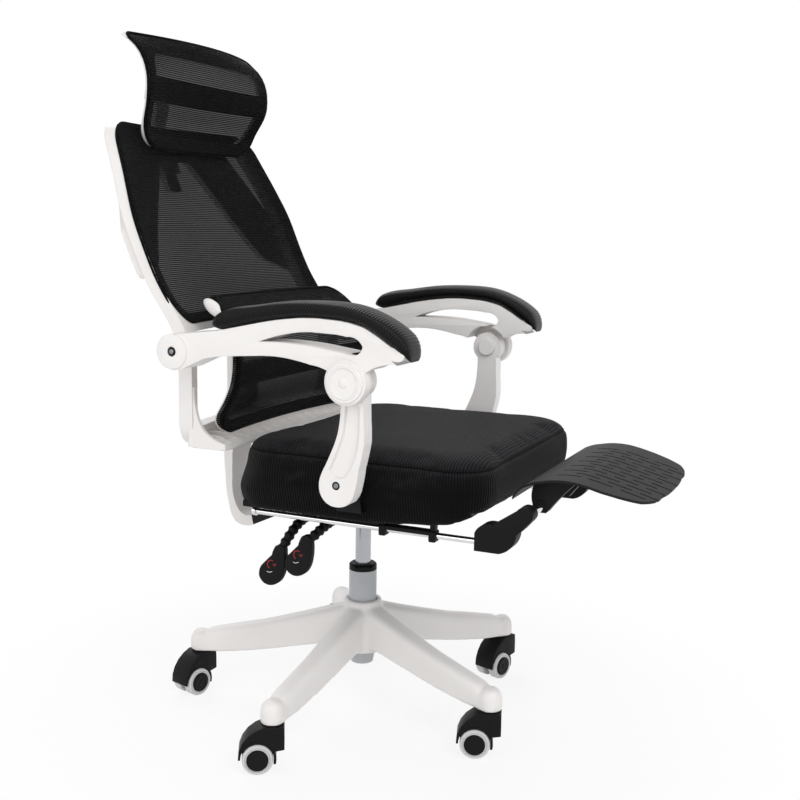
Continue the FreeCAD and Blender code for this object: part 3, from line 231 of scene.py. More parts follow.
@dataclass(frozen=True)
class RibbedCloth:
    """A black knitted mesh with raised ribs, laid out by the piece's own weave map in metres."""

    name: str
    # The first colour is painted shade in the hollows between ribs, the second painted light on the
    # rib tops.
    valley: str
    ridge: str
    pitch_mm: float
    thread_mm: float
    depth_mm: float
    open_share: float = 0.0
    sheen: float = 0.02
    gleam: float = 0.06
    # Whether light from above is painted on: upward faces lighter, sides darker.
    nap: bool = False

    def make(self) -> bpy.types.Material:
        """Build the material.

        Returns:
            The material.
        """
        material, tree, shader = new_material(self.name, {
            "IOR": 1.45, "Specular IOR Level": self.gleam, "Sheen Weight": self.sheen,
            "Sheen Roughness": 0.45})
        weave = add_node(tree, "ShaderNodeUVMap", uv_map="weave").outputs["UV"]
        # A wave texture of scale s repeats every 2 pi / (20 s) of its coordinate.
        ribs, threads = (add_node(tree, "ShaderNodeTexWave", {
            "Vector": weave, "Scale": math.tau / 20.0 / (pitch * MM), "Distortion": uneven,
            "Detail": 1.0, "Detail Scale": detail}, bands_direction=axis).outputs["Fac"]
            for pitch, uneven, detail, axis in (
                (self.pitch_mm, 0.25, 0.4, "Y"), (self.thread_mm, 0.6, 0.8, "X")))
        fuzz = add_node(tree, "ShaderNodeTexNoise", {
            "Vector": weave, "Scale": 60.0, "Detail": 4.0, "Roughness": 0.65}).outputs["Fac"]
        height = add_node(tree, "ShaderNodeMath", {0: threads, 1: 0.35, 2: ribs},
                          operation="MULTIPLY_ADD").outputs[0]
        share = add_node(tree, "ShaderNodeMath", {0: height, 1: fuzz},
                         operation="MULTIPLY").outputs[0]
        if self.nap:
            # Painted light from above: the colour share drops to about an eighth on faces that look
            # sideways or down, so the top shows lighter and the sides darker.
            facing = add_node(tree, "ShaderNodeNewGeometry").outputs["Normal"]
            upward = add_node(tree, "ShaderNodeSeparateXYZ", {0: facing}).outputs["Z"]
            lift = add_node(tree, "ShaderNodeMapRange", {
                "Value": upward, "From Max": 0.7, "To Min": 0.12}).outputs["Result"]
            share = add_node(tree, "ShaderNodeMath", {0: share, 1: lift},
                             operation="MULTIPLY").outputs[0]
        # Painted shade and light: the colour runs from the dark valley colour in the hollows
        # between ribs and threads to the lighter ridge colour on the rib tops, broken by a random
        # fuzz.
        add_node(tree, "ShaderNodeMix", {
            "Factor": share, 6: linear(self.valley), 7: linear(self.ridge)},
            {2: shader["Base Color"]}, data_type="RGBA")
        add_node(tree, "ShaderNodeBump", {
            "Height": height, "Strength": 0.9, "Distance": self.depth_mm * MM},
            {"Normal": shader["Normal"]})
        add_node(tree, "ShaderNodeMapRange", {"Value": threads, "To Min": 0.62, "To Max": 0.85},
                 {"Result": shader["Roughness"]})
        if self.open_share > 0.0:
            add_node(tree, "ShaderNodeMapRange", {
                "Value": height, "To Min": 1.0 - 2.0 * self.open_share},
                {"Result": shader["Alpha"]})
        return material


@dataclass(frozen=True)
class Finishes:
    """Every finish of the chair, made once."""

    # White polypropylene from a fine-grained mould, which gives it a soft satin look.
    white: Moulding = Moulding("white_polypropylene", "#f1efed", "#e6e2e0", 0.42, 1.6, 0.03, 2.0)
    # Black glass-filled nylon, eroded mould, dull with small sparkles.
    black: Moulding = Moulding("black_nylon", "#0b0b0c", "#121214", 0.48, 1.4, 0.08, 1.2, 0.15)
    # Dark grey nylon plate with a coarser leather grain.
    plate: Moulding = Moulding("dark_grey_nylon", "#1a1819", "#211f20", 0.54, 2.2, 0.10, 1.4, 0.15)
    # Soft polyurethane skin of the arm pads, moulded dull with a faint gloss on the ribs.
    pad: Moulding = Moulding("soft_polyurethane", "#060606", "#0b0a0a", 0.30, 1.2, 0.05, 0.3, 0.16)
    # Pale thermoplastic tread around a black hub.
    tread: Moulding = Moulding("pale_tread_polyurethane", "#dcdcdc", "#c9c9ca", 0.50, 2.0, 0.05)
    # Steel tube with a pale grey powder coat.
    column: Steel = Steel("grey_powder_coat", "#c3c6ca", 0.0, 0.42, 0.5, Streak.NONE, 1.8, 0.05)
    # Ground steel of the gas cylinder, with fine rings around it.
    cylinder: Steel = Steel("ground_steel", "#b5b7bc", 1.0, 0.24, 0.5, Streak.AROUND_COLUMN, 0.9)
    # Chromed tube of the footrest rails, drawn lengthwise before plating.
    chrome: Steel = Steel("bright_chrome", "#e4e4e6", 1.0, 0.08, 0.5, Streak.ALONG_RAIL, 1.2, 0.004)
    # Zinc-plated heads of the screws.
    zinc: Steel = Steel("zinc_plate", "#8f9196", 1.0, 0.32, 0.5, Streak.NONE, 0.8, 0.008)
    # Folded steel with a black powder coat.
    housing: Steel = Steel("black_powder_coat", "#101012", 0.0, 0.5, 0.2, Streak.NONE, 1.5, 0.06)
    # Open ribbed mesh of the back: nylon ribs with gaps that let a little light through, painted
    # darker in the hollows as shade and lighter on the rib tops.
    mesh: RibbedCloth = RibbedCloth("open_ribbed_mesh", "#060606", "#1c1c1e", 3.6, 1.8, 0.6, 0.22)
    # Closed ribbed spacer fabric of the seat, painted darker in the hollows as shade and lighter on
    # the rib tops, with painted light from above on its upward faces.
    seat: RibbedCloth = RibbedCloth("ribbed_spacer_fabric", "#050505", "#302f33", 4.6, 2.2, 1.0,
                                    0.0, 0.06, 0.06, True)
    # Turned edge and piping of the same yarn, painted darker in the hollows as shade and lighter on
    # the rib tops.
    trim: RibbedCloth = RibbedCloth("black_edge_binding", "#060606", "#141313", 3.0, 1.5, 0.4)
    # Screen printing on the paddles.
    print_white: Moulding = Moulding("white_pad_print", "#e9e9e9", "#d8d8d8", 0.5, 2.0, 0.02)
    print_red: Moulding = Moulding("red_pad_print", "#b51f1a", "#9c1a16", 0.5, 2.0, 0.02)


class Paint:
    """The made materials, by field name of Finishes."""

    def __init__(self, finishes: Finishes) -> None:
        """Make every material.

        Args:
            finishes: The finishes to make.
        """
        self.made: dict[str, bpy.types.Material] = {
            name: getattr(finishes, name).make() for name in finishes.__dataclass_fields__}

    def node(self, name: str, finish: str) -> None:
        """Give a carried-over CAD node a finish.

        Args:
            name: Node name.
            finish: Field name of Finishes.
        """
        item = frame["nodes"][name]
        if not item.material_slots:
            item.data.materials.append(self.made[finish])
        for place in item.material_slots:
            place.material = self.made[finish]

    def piece(self, item: Item, finish: str, body: str, node: str = "") -> None:
        """Give a new piece its finish, body and material slot.

        Args:
            item: The piece.
            finish: Field name of Finishes.
            body: Body that carries it.
            node: CAD node that it stands for, if any.
        """
        item.data.materials.clear()
        item.data.materials.append(self.made[finish])
        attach(item, body)
        if node:
            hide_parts(node)


# Geometry helpers.

def natural_spline(across: Sequence[float], values: Sequence[float]) -> Callable[[Any], Any]:
    """A smooth curve through points, with free ends.

    Args:
        across: Rising places of the points.
        values: Value at each place.

    Returns:
        A function from a place, or an array of places, to the value there.
    """
    x = np.array(across, float)
    y = np.array(values, float)
    count = len(x)
    step = np.diff(x)
    left = np.zeros((count, count))
    right = np.zeros(count)
    left[0, 0] = left[-1, -1] = 1.0
    for i in range(1, count - 1):
        left[i, i - 1:i + 2] = step[i - 1], 2 * (step[i - 1] + step[i]), step[i]
        right[i] = 6 * ((y[i + 1] - y[i]) / step[i] - (y[i] - y[i - 1]) / step[i - 1])
    bend = np.linalg.solve(left, right)

    def value(place: Any) -> Any:
        """The curve's value at a place."""
        p = np.clip(place, x[0], x[-1])
        i = np.clip(np.searchsorted(x, p) - 1, 0, count - 2)
        a, b, h = x[i + 1] - p, p - x[i], step[i]
        return (bend[i] * a ** 3 + bend[i + 1] * b ** 3) / (6 * h) + (
            y[i] / h - bend[i] * h / 6) * a + (y[i + 1] / h - bend[i + 1] * h / 6) * b

    return value


def rounded(corners: Corners, arc_steps: int = 14, gap: float = 12.0) -> np.ndarray:
    """Points along an outline with rounded corners.

    Args:
        corners: Corner places and radii, in order.
        arc_steps: Points on each corner.
        gap: Longest space between points on the straight runs.

    Returns:
        The closed outline as rows of two numbers.
    """
    spots = [np.array(corner[:2], float) for corner in corners]
    points: list[np.ndarray] = []
    for place, spot in enumerate(spots):
        back = spots[place - 1] - spot
        ahead = spots[(place + 1) % len(spots)] - spot
        back /= np.linalg.norm(back)
        ahead /= np.linalg.norm(ahead)
        half = math.acos(float(np.clip(back @ ahead, -1, 1))) / 2
        reach = corners[place][2] / math.tan(half)
        middle = spot + (back + ahead) / np.linalg.norm(back + ahead) * (
            corners[place][2] / math.sin(half))
        first = spot + back * reach - middle
        last = spot + ahead * reach - middle
        low = math.atan2(first[1], first[0])
        turn = math.atan2(first[0] * last[1] - first[1] * last[0], float(first @ last))
        radius = float(np.linalg.norm(first))
        for share in np.linspace(0, 1, arc_steps):
            angle = low + turn * share
            points.append(middle + radius * np.array([math.cos(angle), math.sin(angle)]))
    full: list[np.ndarray] = []
    for place, point in enumerate(points):
        after = points[(place + 1) % len(points)]
        parts = max(1, math.ceil(float(np.linalg.norm(after - point)) / gap))
        full += [point + (after - point) * share / parts for share in range(parts)]
    return np.array(full)


def mirrored(corners: Corners) -> list[tuple[float, float, float]]:
    """Add the left half of an outline, given its right half from bottom to top."""
    return list(corners) + [(-x, y, r) for x, y, r in reversed(corners)]


def add_object(name: str, data: bpy.types.ID) -> Item:
    """Make an object from a mesh, a camera or a lamp, and put it in the scene."""
    item = bpy.data.objects.new(name, data)
    bpy.context.scene.collection.objects.link(item)
    return item


def mesh_piece(name: str, points: np.ndarray, faces: Sequence[Sequence[int]],
               weave: np.ndarray | None = None) -> Item:
    """A mesh object from points in millimetres.

    Args:
        name: Name of the piece.
        points: Rows of three numbers.
        faces: Point numbers of each face.
        weave: Rows of two numbers for the weave map, in metres.

    Returns:
        The object, smooth shaded, at the origin.
    """
    data = bpy.data.meshes.new(name)
    data.from_pydata((points * MM).tolist(), [], [list(each) for each in faces])
    data.validate()
    if weave is not None:
        layer = data.uv_layers.new(name="weave")
        for loop in data.loops:
            layer.data[loop.index].uv = weave[loop.vertex_index]
    data.shade_smooth()
    return add_object(name, data)


def select_only(item: Item) -> None:
    """Deselect everything and make one object active and selected."""
    for other in bpy.context.view_layer.objects:
        other.select_set(False)
    item.select_set(True)
    bpy.context.view_layer.objects.active = item


@contextmanager
def edit_mode(action: str = "SELECT") -> Iterator[None]:
    """Hold the active object in edit mode.

    Args:
        action: What to do with the selection first. An empty text leaves it alone.

    Yields:
        Nothing, once edit mode is on.
    """
    bpy.ops.object.mode_set(mode="EDIT")
    if action:
        bpy.ops.mesh.select_all(action=action)
    yield
    bpy.ops.object.mode_set(mode="OBJECT")


def face_outward(item: Item) -> None:
    """Turn every face of a closed piece outward."""
    select_only(item)
    with edit_mode():
        bpy.ops.mesh.normals_make_consistent(inside=False)


def spots_of(item: Item) -> np.ndarray:
    """The points of a mesh object, as rows of three numbers in metres."""
    return np.array([point.co for point in item.data.vertices])


def move_spots(item: Item, spots: np.ndarray) -> None:
    """Put the points of a mesh object at new places, in metres."""
    item.data.vertices.foreach_set("co", spots.astype(np.float32).ravel())
    item.data.update()


def pick(item: Item, chosen: np.ndarray) -> None:
    """Select some points of the active object, one truth value for each, and nothing else."""
    with edit_mode("DESELECT"):
        pass
    item.data.vertices.foreach_set("select", chosen)


def copy_node(node: str, name: str) -> Item:
    """Make a free copy of a CAD node with its doubled points merged.

    Args:
        node: Name of the CAD node.
        name: Name of the copy.

    Returns:
        The copy, active and selected.
    """
    item = add_object(name, frame["nodes"][node].data.copy())
    select_only(item)
    with edit_mode():
        bpy.ops.mesh.remove_doubles(threshold=MERGE_M)
    return item


def drawn(name: str, spots: Sequence[Vector], edges: Sequence[tuple[int, int]],
          faces: Sequence[tuple[int, ...]]) -> Item:
    """Start a modelled piece from a few points, edges and faces.

    Args:
        name: Name of the piece.
        spots: The points, in metres.
        edges: Point numbers of each loose edge.
        faces: Point numbers of each face.

    Returns:
        The piece, active and selected.
    """
    select_only(frame["nodes"]["star_base"])
    bpy.ops.mesh.primitive_plane_add(size=0.01)
    item = bpy.context.active_object
    item.name = item.data.name = name
    with edit_mode():
        bpy.ops.mesh.delete(type="VERT")
    item.data.from_pydata([tuple(spot) for spot in spots], edges, faces)
    return item


def smooth_by_angle(item: Item, degrees: float) -> None:
    """Shade a piece smooth except across edges sharper than an angle."""
    select_only(item)
    bpy.ops.object.shade_smooth_by_angle(angle=math.radians(degrees))


def finish_with(item: Item, kind: str, **settings: Any) -> None:
    """Add a modifier and apply it.

    Args:
        item: Object that gets it.
        kind: Modifier type.
        **settings: Properties of the modifier.
    """
    select_only(item)
    modifier = item.modifiers.new(kind.title(), kind)
    for name, value in settings.items():
        setattr(modifier, name, value)
    bpy.ops.object.modifier_apply(modifier=modifier.name)


def loft_faces(rows: int, columns: int, closed: bool) -> list[tuple[int, int, int, int]]:
    """Faces of a grid of points, row by row.

    Args:
        rows: Number of rows.
        columns: Points in a row.
        closed: Whether each row is a ring.

    Returns:
        Four point numbers for each face.
    """
    faces = []
    for row in range(rows - 1):
        for column in range(columns if closed else columns - 1):
            after = (column + 1) % columns
            faces.append((row * columns + column, row * columns + after,
                          (row + 1) * columns + after, (row + 1) * columns + column))
    return faces


def cord_ring(name: str, spots: Sequence[Sequence[float]], radius_mm: float,
              sides: int = 10) -> Item:
    """A closed round cord of cloth along points in metres, with a weave map.

    Args:
        name: Name of the piece.
        spots: The points, in order round the ring.
        radius_mm: Radius of the cord.
        sides: Number of faces round the cord.

    Returns:
        The mesh object.
    """
    line = np.array(spots, float) / MM
    count = len(line)
    points = []
    weave = []
    length = 0.0
    for place in range(count):
        before = line[place - 1]
        after = line[(place + 1) % count]
        ahead = (after - before) / max(np.linalg.norm(after - before), TINY)
        side = np.cross(ahead, (0.03, 0.02, 1.0))
        side /= np.linalg.norm(side)
        top = np.cross(side, ahead)
        if place:
            length += float(np.linalg.norm(line[place] - before))
        for step in range(sides):
            angle = math.tau * step / sides
            points.append(line[place] + radius_mm * (math.cos(angle) * side
                                                     + math.sin(angle) * top))
            weave.append((radius_mm * angle * MM, length * MM))
    faces = loft_faces(count, sides, True)
    faces += [((count - 1) * sides + step, (count - 1) * sides + (step + 1) % sides,
               (step + 1) % sides, step) for step in range(sides)]
    item = mesh_piece(name, np.array(points), faces, np.array(weave))
    face_outward(item)
    return item


# The back, the lumbar panel and the headrest: stretched cloth over curved frames.

@dataclass
class StretchedMesh:
    """A sheet of ribbed mesh stretched over a curved frame, with a rolled and bound edge.

    A row of the side line is (back, up, how much the centre sits further back).
    """

    name: str
    node: str
    body: str
    rows: Corners
    half: float
    outline: Corners
    front: float = 3.0
    turn_in: float = 5.0
    rings: int = 26
    lip: float = 3.0
    thick: float = 1.4
    cord: float = 2.2
    cord_out: float = 3.4
    cord_back: float = 4.4
    hem_wide: float = 1.05
    hem_tall: float = 1.02

    def surface(self, x: np.ndarray, z: np.ndarray) -> np.ndarray:
        """The y place of the sheet's face.

        Args:
            x: Places across.
            z: Places up.

        Returns:
            Places along, in millimetres.
        """
        ups = [row[1] for row in self.rows]
        back = natural_spline(ups, [row[0] for row in self.rows])
        hollow = natural_spline(ups, [row[2] for row in self.rows])
        return back(z) + hollow(z) * (1.0 - (x / self.half) ** 2)

    def build(self, paint: Paint) -> None:
        """Build the sheet and its binding, and hide the CAD sheet."""
        edge = rounded(mirrored(self.outline))
        count = len(edge)
        centre = (edge.min(0) + edge.max(0)) / 2
        out = np.roll(edge, -1, 0) - np.roll(edge, 1, 0)
        out = np.stack([out[:, 1], -out[:, 0]], 1) / np.linalg.norm(out, axis=1)[:, None]
        first = float(self.surface(centre[:1], centre[1:])[0]) - self.front
        layers = [(share, 0.0, 0.0) for share in np.linspace(0, 1, self.rings)[1:]]
        layers += [(1.0, self.lip * math.sin(turn), self.lip * (1.0 - math.cos(turn)))
                   for turn in map(math.radians, (30.0, 60.0, 90.0))]
        layers.append((1.0, self.lip + 0.2, self.lip + self.turn_in))
        rows = []
        for share, outward, backward in layers:
            flat = centre + (edge - centre) * share + out * outward
            y = self.surface(flat[:, 0], flat[:, 1]) - self.front + backward
            rows.append(np.stack([flat[:, 0], y, flat[:, 1]], 1))
        points = np.concatenate([np.array([[centre[0], first, centre[1]]]), *rows])
        faces: list[tuple[int, ...]] = [(0, 1 + (i + 1) % count, 1 + i) for i in range(count)]
        faces += [tuple(number + 1 for number in face[::-1])
                  for face in loft_faces(len(layers), count, True)]
        levels = np.linspace(points[:, 2].min(), points[:, 2].max(), 200)
        run = self.surface(np.zeros(200), levels)
        length = np.concatenate([[0], np.cumsum(np.hypot(np.diff(run), np.diff(levels)))])
        weave = np.stack([points[:, 0], np.interp(points[:, 2], levels, length)], 1) * MM
        item = mesh_piece(self.name, points, faces, weave)
        face_outward(item)
        if sum(face.normal.y for face in item.data.polygons) > 0:
            item.data.flip_normals()
        finish_with(item, "SOLIDIFY", thickness=self.thick * MM, offset=-1.0)
        paint.piece(item, "mesh", self.body, self.node)
        y = self.surface(edge[:, 0], edge[:, 1]) - self.front + self.cord_back
        around = edge + out * self.cord_out
        spots = np.stack([around[:, 0], y, around[:, 1]], 1) * MM
        binding = cord_ring(self.name + "_binding", spots, self.cord)
        paint.piece(binding, "trim", self.body)


BACK_ROWS = tuple((190.0 + back, float(up), 35.0) for back, up in (
    (0, 496), (0, 530), (0, 565), (0, 600), (0, 632), (2, 660), (12, 692), (34, 727), (59, 763),
    (82, 807), (109, 871), (137, 945), (168, 1020), (174, 1036)))
LUMBAR_ROWS = tuple((float(back), float(up), 22.0) for back, up in (
    (140, 518), (148, 541), (134, 570), (117, 605), (111, 651), (121, 690), (143, 718),
    (176, 745)))
HEAD_ROWS = ((333.0, 990.0, 30.0), (328.0, 1044.0, 28.0), (321.0, 1063.0, 24.0),
             (316.0, 1086.0, 18.0), (316.0, 1112.0, 8.0), (322.0, 1135.0, -2.0),
             (335.0, 1156.0, -12.0), (354.0, 1172.0, -26.0), (376.0, 1184.0, -40.0))


@dataclass
class SeatCushion:
    """The foam seat in its ribbed cover, blown up a little by a cloth simulation."""

    half_wide: float = 250.0
    front: float = -316.0
    rear: float = 123.0
    corner: float = 70.0
    voxel_mm: float = 5.0
    smooth_steps: int = 16
    cap_mm: float = 7.0
    seam_up: float = 503.0
    nose_mm: float = 9.0
    nose_from_m: float = -0.15
    nose_run_m: float = 0.12
    pan_m: float = 0.412
    pan_blend_m: float = 0.03
    pressure: float = 4.0
    frames: int = 20
    seam_deep: float = 2.4
    seam_wide: float = 3.2
    seam_low_m: float = 0.48
    welt_radius: float = 1.3

    def outline(self) -> np.ndarray:
        """The cushion's outline seen from above."""
        wide, turn = self.half_wide, self.corner
        return rounded([(wide, self.rear, turn), (-wide, self.rear, turn),
                        (-wide, self.front, turn), (wide, self.front, turn)], 16, 8.0)

    def build(self, paint: Paint) -> None:
        """Build the cushion with its seam, and hide the CAD cushion."""
        item = copy_node("seat_cushion", "seat_cover")
        finish_with(item, "REMESH", mode="VOXEL", voxel_size=self.voxel_mm * MM)
        finish_with(item, "SMOOTH", factor=0.5, iterations=self.smooth_steps)
        self.inflate(item)
        spots = spots_of(item)
        ahead = np.clip((self.nose_from_m - spots[:, 1]) / self.nose_run_m, 0.0, 1.0)
        spots[:, 1] -= self.nose_mm * MM * ahead * ahead * (3.0 - 2.0 * ahead)
        move_spots(item, spots)
        finish_with(item, "SUBSURF", levels=1, render_levels=1)
        self.sew(item)
        self.lay_weave(item)
        item.data.shade_smooth()
        paint.piece(item, "seat", "seat", "seat_cushion")
        paint.piece(self.welt(item), "trim", "seat")
        LOG.info("seat_cover: %d faces", len(item.data.polygons))

    def inflate(self, item: Item) -> None:
        """Let the cover swell under pressure, and hold each point near where it was."""
        select_only(item)
        before = spots_of(item)
        cloth = item.modifiers.new("Cloth", "CLOTH")
        settings = cloth.settings
        settings.use_pressure = True
        settings.uniform_pressure_force = self.pressure
        settings.effector_weights.gravity = 0.0
        settings.quality = 5
        scene = bpy.context.scene
        for number in range(1, self.frames + 1):
            scene.frame_set(number)
        bpy.ops.object.modifier_apply(modifier=cloth.name)
        scene.frame_set(1)
        move = spots_of(item) - before
        far = np.linalg.norm(move, axis=1, keepdims=True)
        move *= np.minimum(1.0, self.cap_mm * MM / np.maximum(far, TINY))
        # The underside stays flat on the pan, and the walls keep inside the arm struts.
        move *= np.clip((before[:, 2:] - self.pan_m) / self.pan_blend_m, 0.0, 1.0)
        move[:, 0] *= 0.5
        move_spots(item, before + move)

    def sew(self, item: Item) -> None:
        """Press a shallow channel along the seam between the top panel and the side panel."""
        spots = spots_of(item)
        normals = np.array([point.normal for point in item.data.vertices])
        away = np.abs(spots[:, 2] / MM - self.seam_up)
        side = np.clip(1.0 - np.abs(normals[:, 2]) * 0.4, 0.0, 1.0)
        depth = self.seam_deep * np.exp(-(away / self.seam_wide) ** 2) * side
        depth *= spots[:, 2] > self.seam_low_m
        move_spots(item, spots - normals * depth[:, None] * MM)

    def lay_weave(self, item: Item) -> None:
        """Write the weave map: ribs run across the top and upright round the sides."""
        edge = self.outline()
        run = np.concatenate([[0], np.cumsum(np.linalg.norm(
            np.roll(edge, -1, 0) - edge, axis=1))])
        spots = spots_of(item) / MM
        flat = spots[:, None, :2] - edge[None, :, :]
        nearest = np.argmin((flat ** 2).sum(2), 1)
        ahead = np.roll(edge, -1, 0) - edge
        long = np.linalg.norm(ahead, axis=1)
        ahead /= long[:, None]
        slide = ((spots[:, :2] - edge[nearest]) * ahead[nearest]).sum(1)
        around = run[nearest] + slide
        upper = spots[:, 2] > self.seam_up + 1.0
        along = np.where(upper, spots[:, 1], around)
        across = np.where(upper, spots[:, 0], spots[:, 2])
        layer = item.data.uv_layers.new(name="weave")
        values = np.stack([across, along], 1) * MM
        for loop in item.data.loops:
            layer.data[loop.index].uv = values[loop.vertex_index]

    def welt(self, item: Item) -> Item:
        """A thin welt that lies in the seam's channel, on the cover's own surface."""
        tree = BVHTree.FromObject(item, bpy.context.evaluated_depsgraph_get())
        spots = []
        middle = Vector((0.0, (self.front + self.rear) / 2 * MM, self.seam_up * MM))
        for x, y in self.outline():
            start = Vector((x * MM, y * MM, self.seam_up * MM))
            outside = middle + (start - middle) * 1.2
            hit = tree.ray_cast(outside, middle - outside)[0]
            spots.append(hit if hit is not None else start)
        return cord_ring("seat_welt", spots, self.welt_radius)


@dataclass
class ArmPad:
    """A soft arm pad with cross ribs, over the top line of its arm."""

    side: int
    name: str
    centre: float = 288.5
    half: float = 31.0
    rib_mm: float = 4.3
    rib_high: float = 1.15
    rib_rings: int = 5
    ring: int = 30
    fade: float = 12.0
    clearance: float = 0.8
    square: tuple[float, float] = (0.62, 0.72)
    long: float = 340.0
    blunt_rear: float = 15.0
    blunt_front: float = 26.0
    base: Line = (
        (114, 709), (98, 703), (59, 711), (11, 721), (-35, 728), (-96, 729), (-155, 719),
        (-198, 691), (-216, 679), (-224, 672))
    crown: Line = (
        (112, 724), (90, 734), (45, 742), (13, 747), (-18, 751), (-56, 753), (-95, 753),
        (-134, 749), (-161, 741), (-188, 729), (-212, 713), (-232, 691))

    def build(self, paint: Paint) -> None:
        """Build the pad, and hide the CAD pad."""
        base = self.even(np.array(self.base))
        crown = self.even(np.array(self.crown))
        stations = int(self.long / self.rib_mm) * self.rib_rings
        points = []
        weave = []
        for place in range(stations + 1):
            share = place / stations
            bottom = self.fit(base, share)
            close = min(share, 1.0 - share) * self.long
            blunt = self.blunt_rear if share < 0.5 else self.blunt_front
            swell = math.sqrt(max(0.0, 1.0 - (1.0 - min(close / blunt, 1.0)) ** 2))
            wave = 0.5 - 0.5 * math.cos(math.tau * place / self.rib_rings)
            rib = self.rib_high * wave * min(1.0, close / self.fade)
            wide = self.half * (0.45 + 0.55 * swell) - self.clearance
            up = self.fit(crown, share) - bottom
            tall = float(np.linalg.norm(up))
            up = up / max(tall, 1e-6)
            for step in range(self.ring):
                angle = math.tau * step / self.ring
                cosine = math.cos(angle)
                sine = math.sin(angle)
                # The powers make the section squarer than an oval.
                x = math.copysign(abs(cosine) ** self.square[0], cosine)
                x *= wide + rib * abs(cosine)
                z = math.copysign(abs(sine) ** self.square[1], sine)
                z = (0.5 + 0.5 * z) * tall * swell + rib * max(sine, 0.0)
                spot = bottom + up * z
                points.append((self.side * self.centre + x, spot[0], spot[1]))
                weave.append((x * MM, share * self.long * MM))
        faces: list[tuple[int, ...]] = list(loft_faces(stations + 1, self.ring, True))
        faces.append(tuple(range(self.ring))[::-1])
        faces.append(tuple(stations * self.ring + step for step in range(self.ring)))
        item = mesh_piece("arm_pad_cover_" + self.name, np.array(points), faces, np.array(weave))
        face_outward(item)
        paint.piece(item, "pad", "arm_" + self.name, "arm_pad_" + self.name)
        LOG.info("%s: %d ribs", item.name, stations // self.rib_rings)

    @staticmethod
    def even(line: np.ndarray) -> np.ndarray:
        """The same line with points evenly apart, smoothed through its corners."""
        run = np.concatenate([[0], np.cumsum(np.linalg.norm(np.diff(line, axis=0), axis=1))])
        places = np.linspace(0, run[-1], 200)
        first = natural_spline(run, line[:, 0])(places)
        second = natural_spline(run, line[:, 1])(places)
        return np.stack([first, second], 1)

    @staticmethod
    def fit(line: np.ndarray, share: float) -> np.ndarray:
        """The point at a share of an evenly spaced line."""
        place = share * (len(line) - 1)
        first = min(int(place), len(line) - 2)
        return line[first] + (line[first + 1] - line[first]) * (place - first)


# Small hard fittings.

def lathe(name: str, profile: Line, centre: Vector, axis: Vector, steps: int = 40) -> Item:
    """Turn a profile round an axis with the spin tool.

    Args:
        name: Name of the piece.
        profile: Radius and height above the centre of each point, in millimetres.
        centre: Foot of the axis, in metres.
        axis: Direction of the axis.
        steps: Number of faces round.

    Returns:
        The closed piece, its geometry in world places.
    """
    axis = axis.normalized()
    side = axis.orthogonal().normalized()
    spots = [centre + side * radius * MM + axis * height * MM for radius, height in profile]
    item = drawn(name, spots, [(place, place + 1) for place in range(len(spots) - 1)], [])
    with edit_mode():
        bpy.ops.mesh.spin(steps=steps, angle=math.tau, center=tuple(centre), axis=tuple(axis))
        bpy.ops.mesh.select_all(action="SELECT")
        bpy.ops.mesh.remove_doubles(threshold=AXIS_MERGE_M)
        bpy.ops.mesh.normals_make_consistent(inside=False)
    smooth_by_angle(item, 35)
    return item


@dataclass(frozen=True)
class Fitting:
    """A turned part that sits on the outer face of a node."""

    name: str
    node: str
    body: str
    back: float
    up: float
    profile: Line
    finish: str
    slot: str
    side: int
    aside: float = 0.0

    def build(self, paint: Paint) -> None:
        """Set the part on the node's outer face, looked for beside the axis if that is a hole."""
        tree = BVHTree.FromObject(frame["nodes"][self.node], bpy.context.evaluated_depsgraph_get())
        out = Vector((float(self.side), 0.0, 0.0))
        # The search starts half a metre outside, clear of the whole chair.
        start = Vector((self.side * 0.5, self.back * MM, (self.up + self.aside) * MM))
        hit = tree.ray_cast(start, -out)[0]
        if hit is None:
            LOG.warning("%s meets no face of %s", self.name, self.node)
            return
        hit.z = self.up * MM
        item = lathe(self.name, self.profile, hit, out)
        paint.piece(item, self.finish, self.body)


def wheel_middles(number: int) -> dict[str, Vector]:
    """The middles of the two wheels of a caster, by side, in metres."""
    middles = {}
    for side in SIDES:
        node = frame["nodes"][f"caster_{number}_wheel_{side}"]
        spots = np.array([node.matrix_world @ point.co for point in node.data.vertices])
        middles[side] = Vector((spots.min(0) + spots.max(0)) / 2)
    return middles


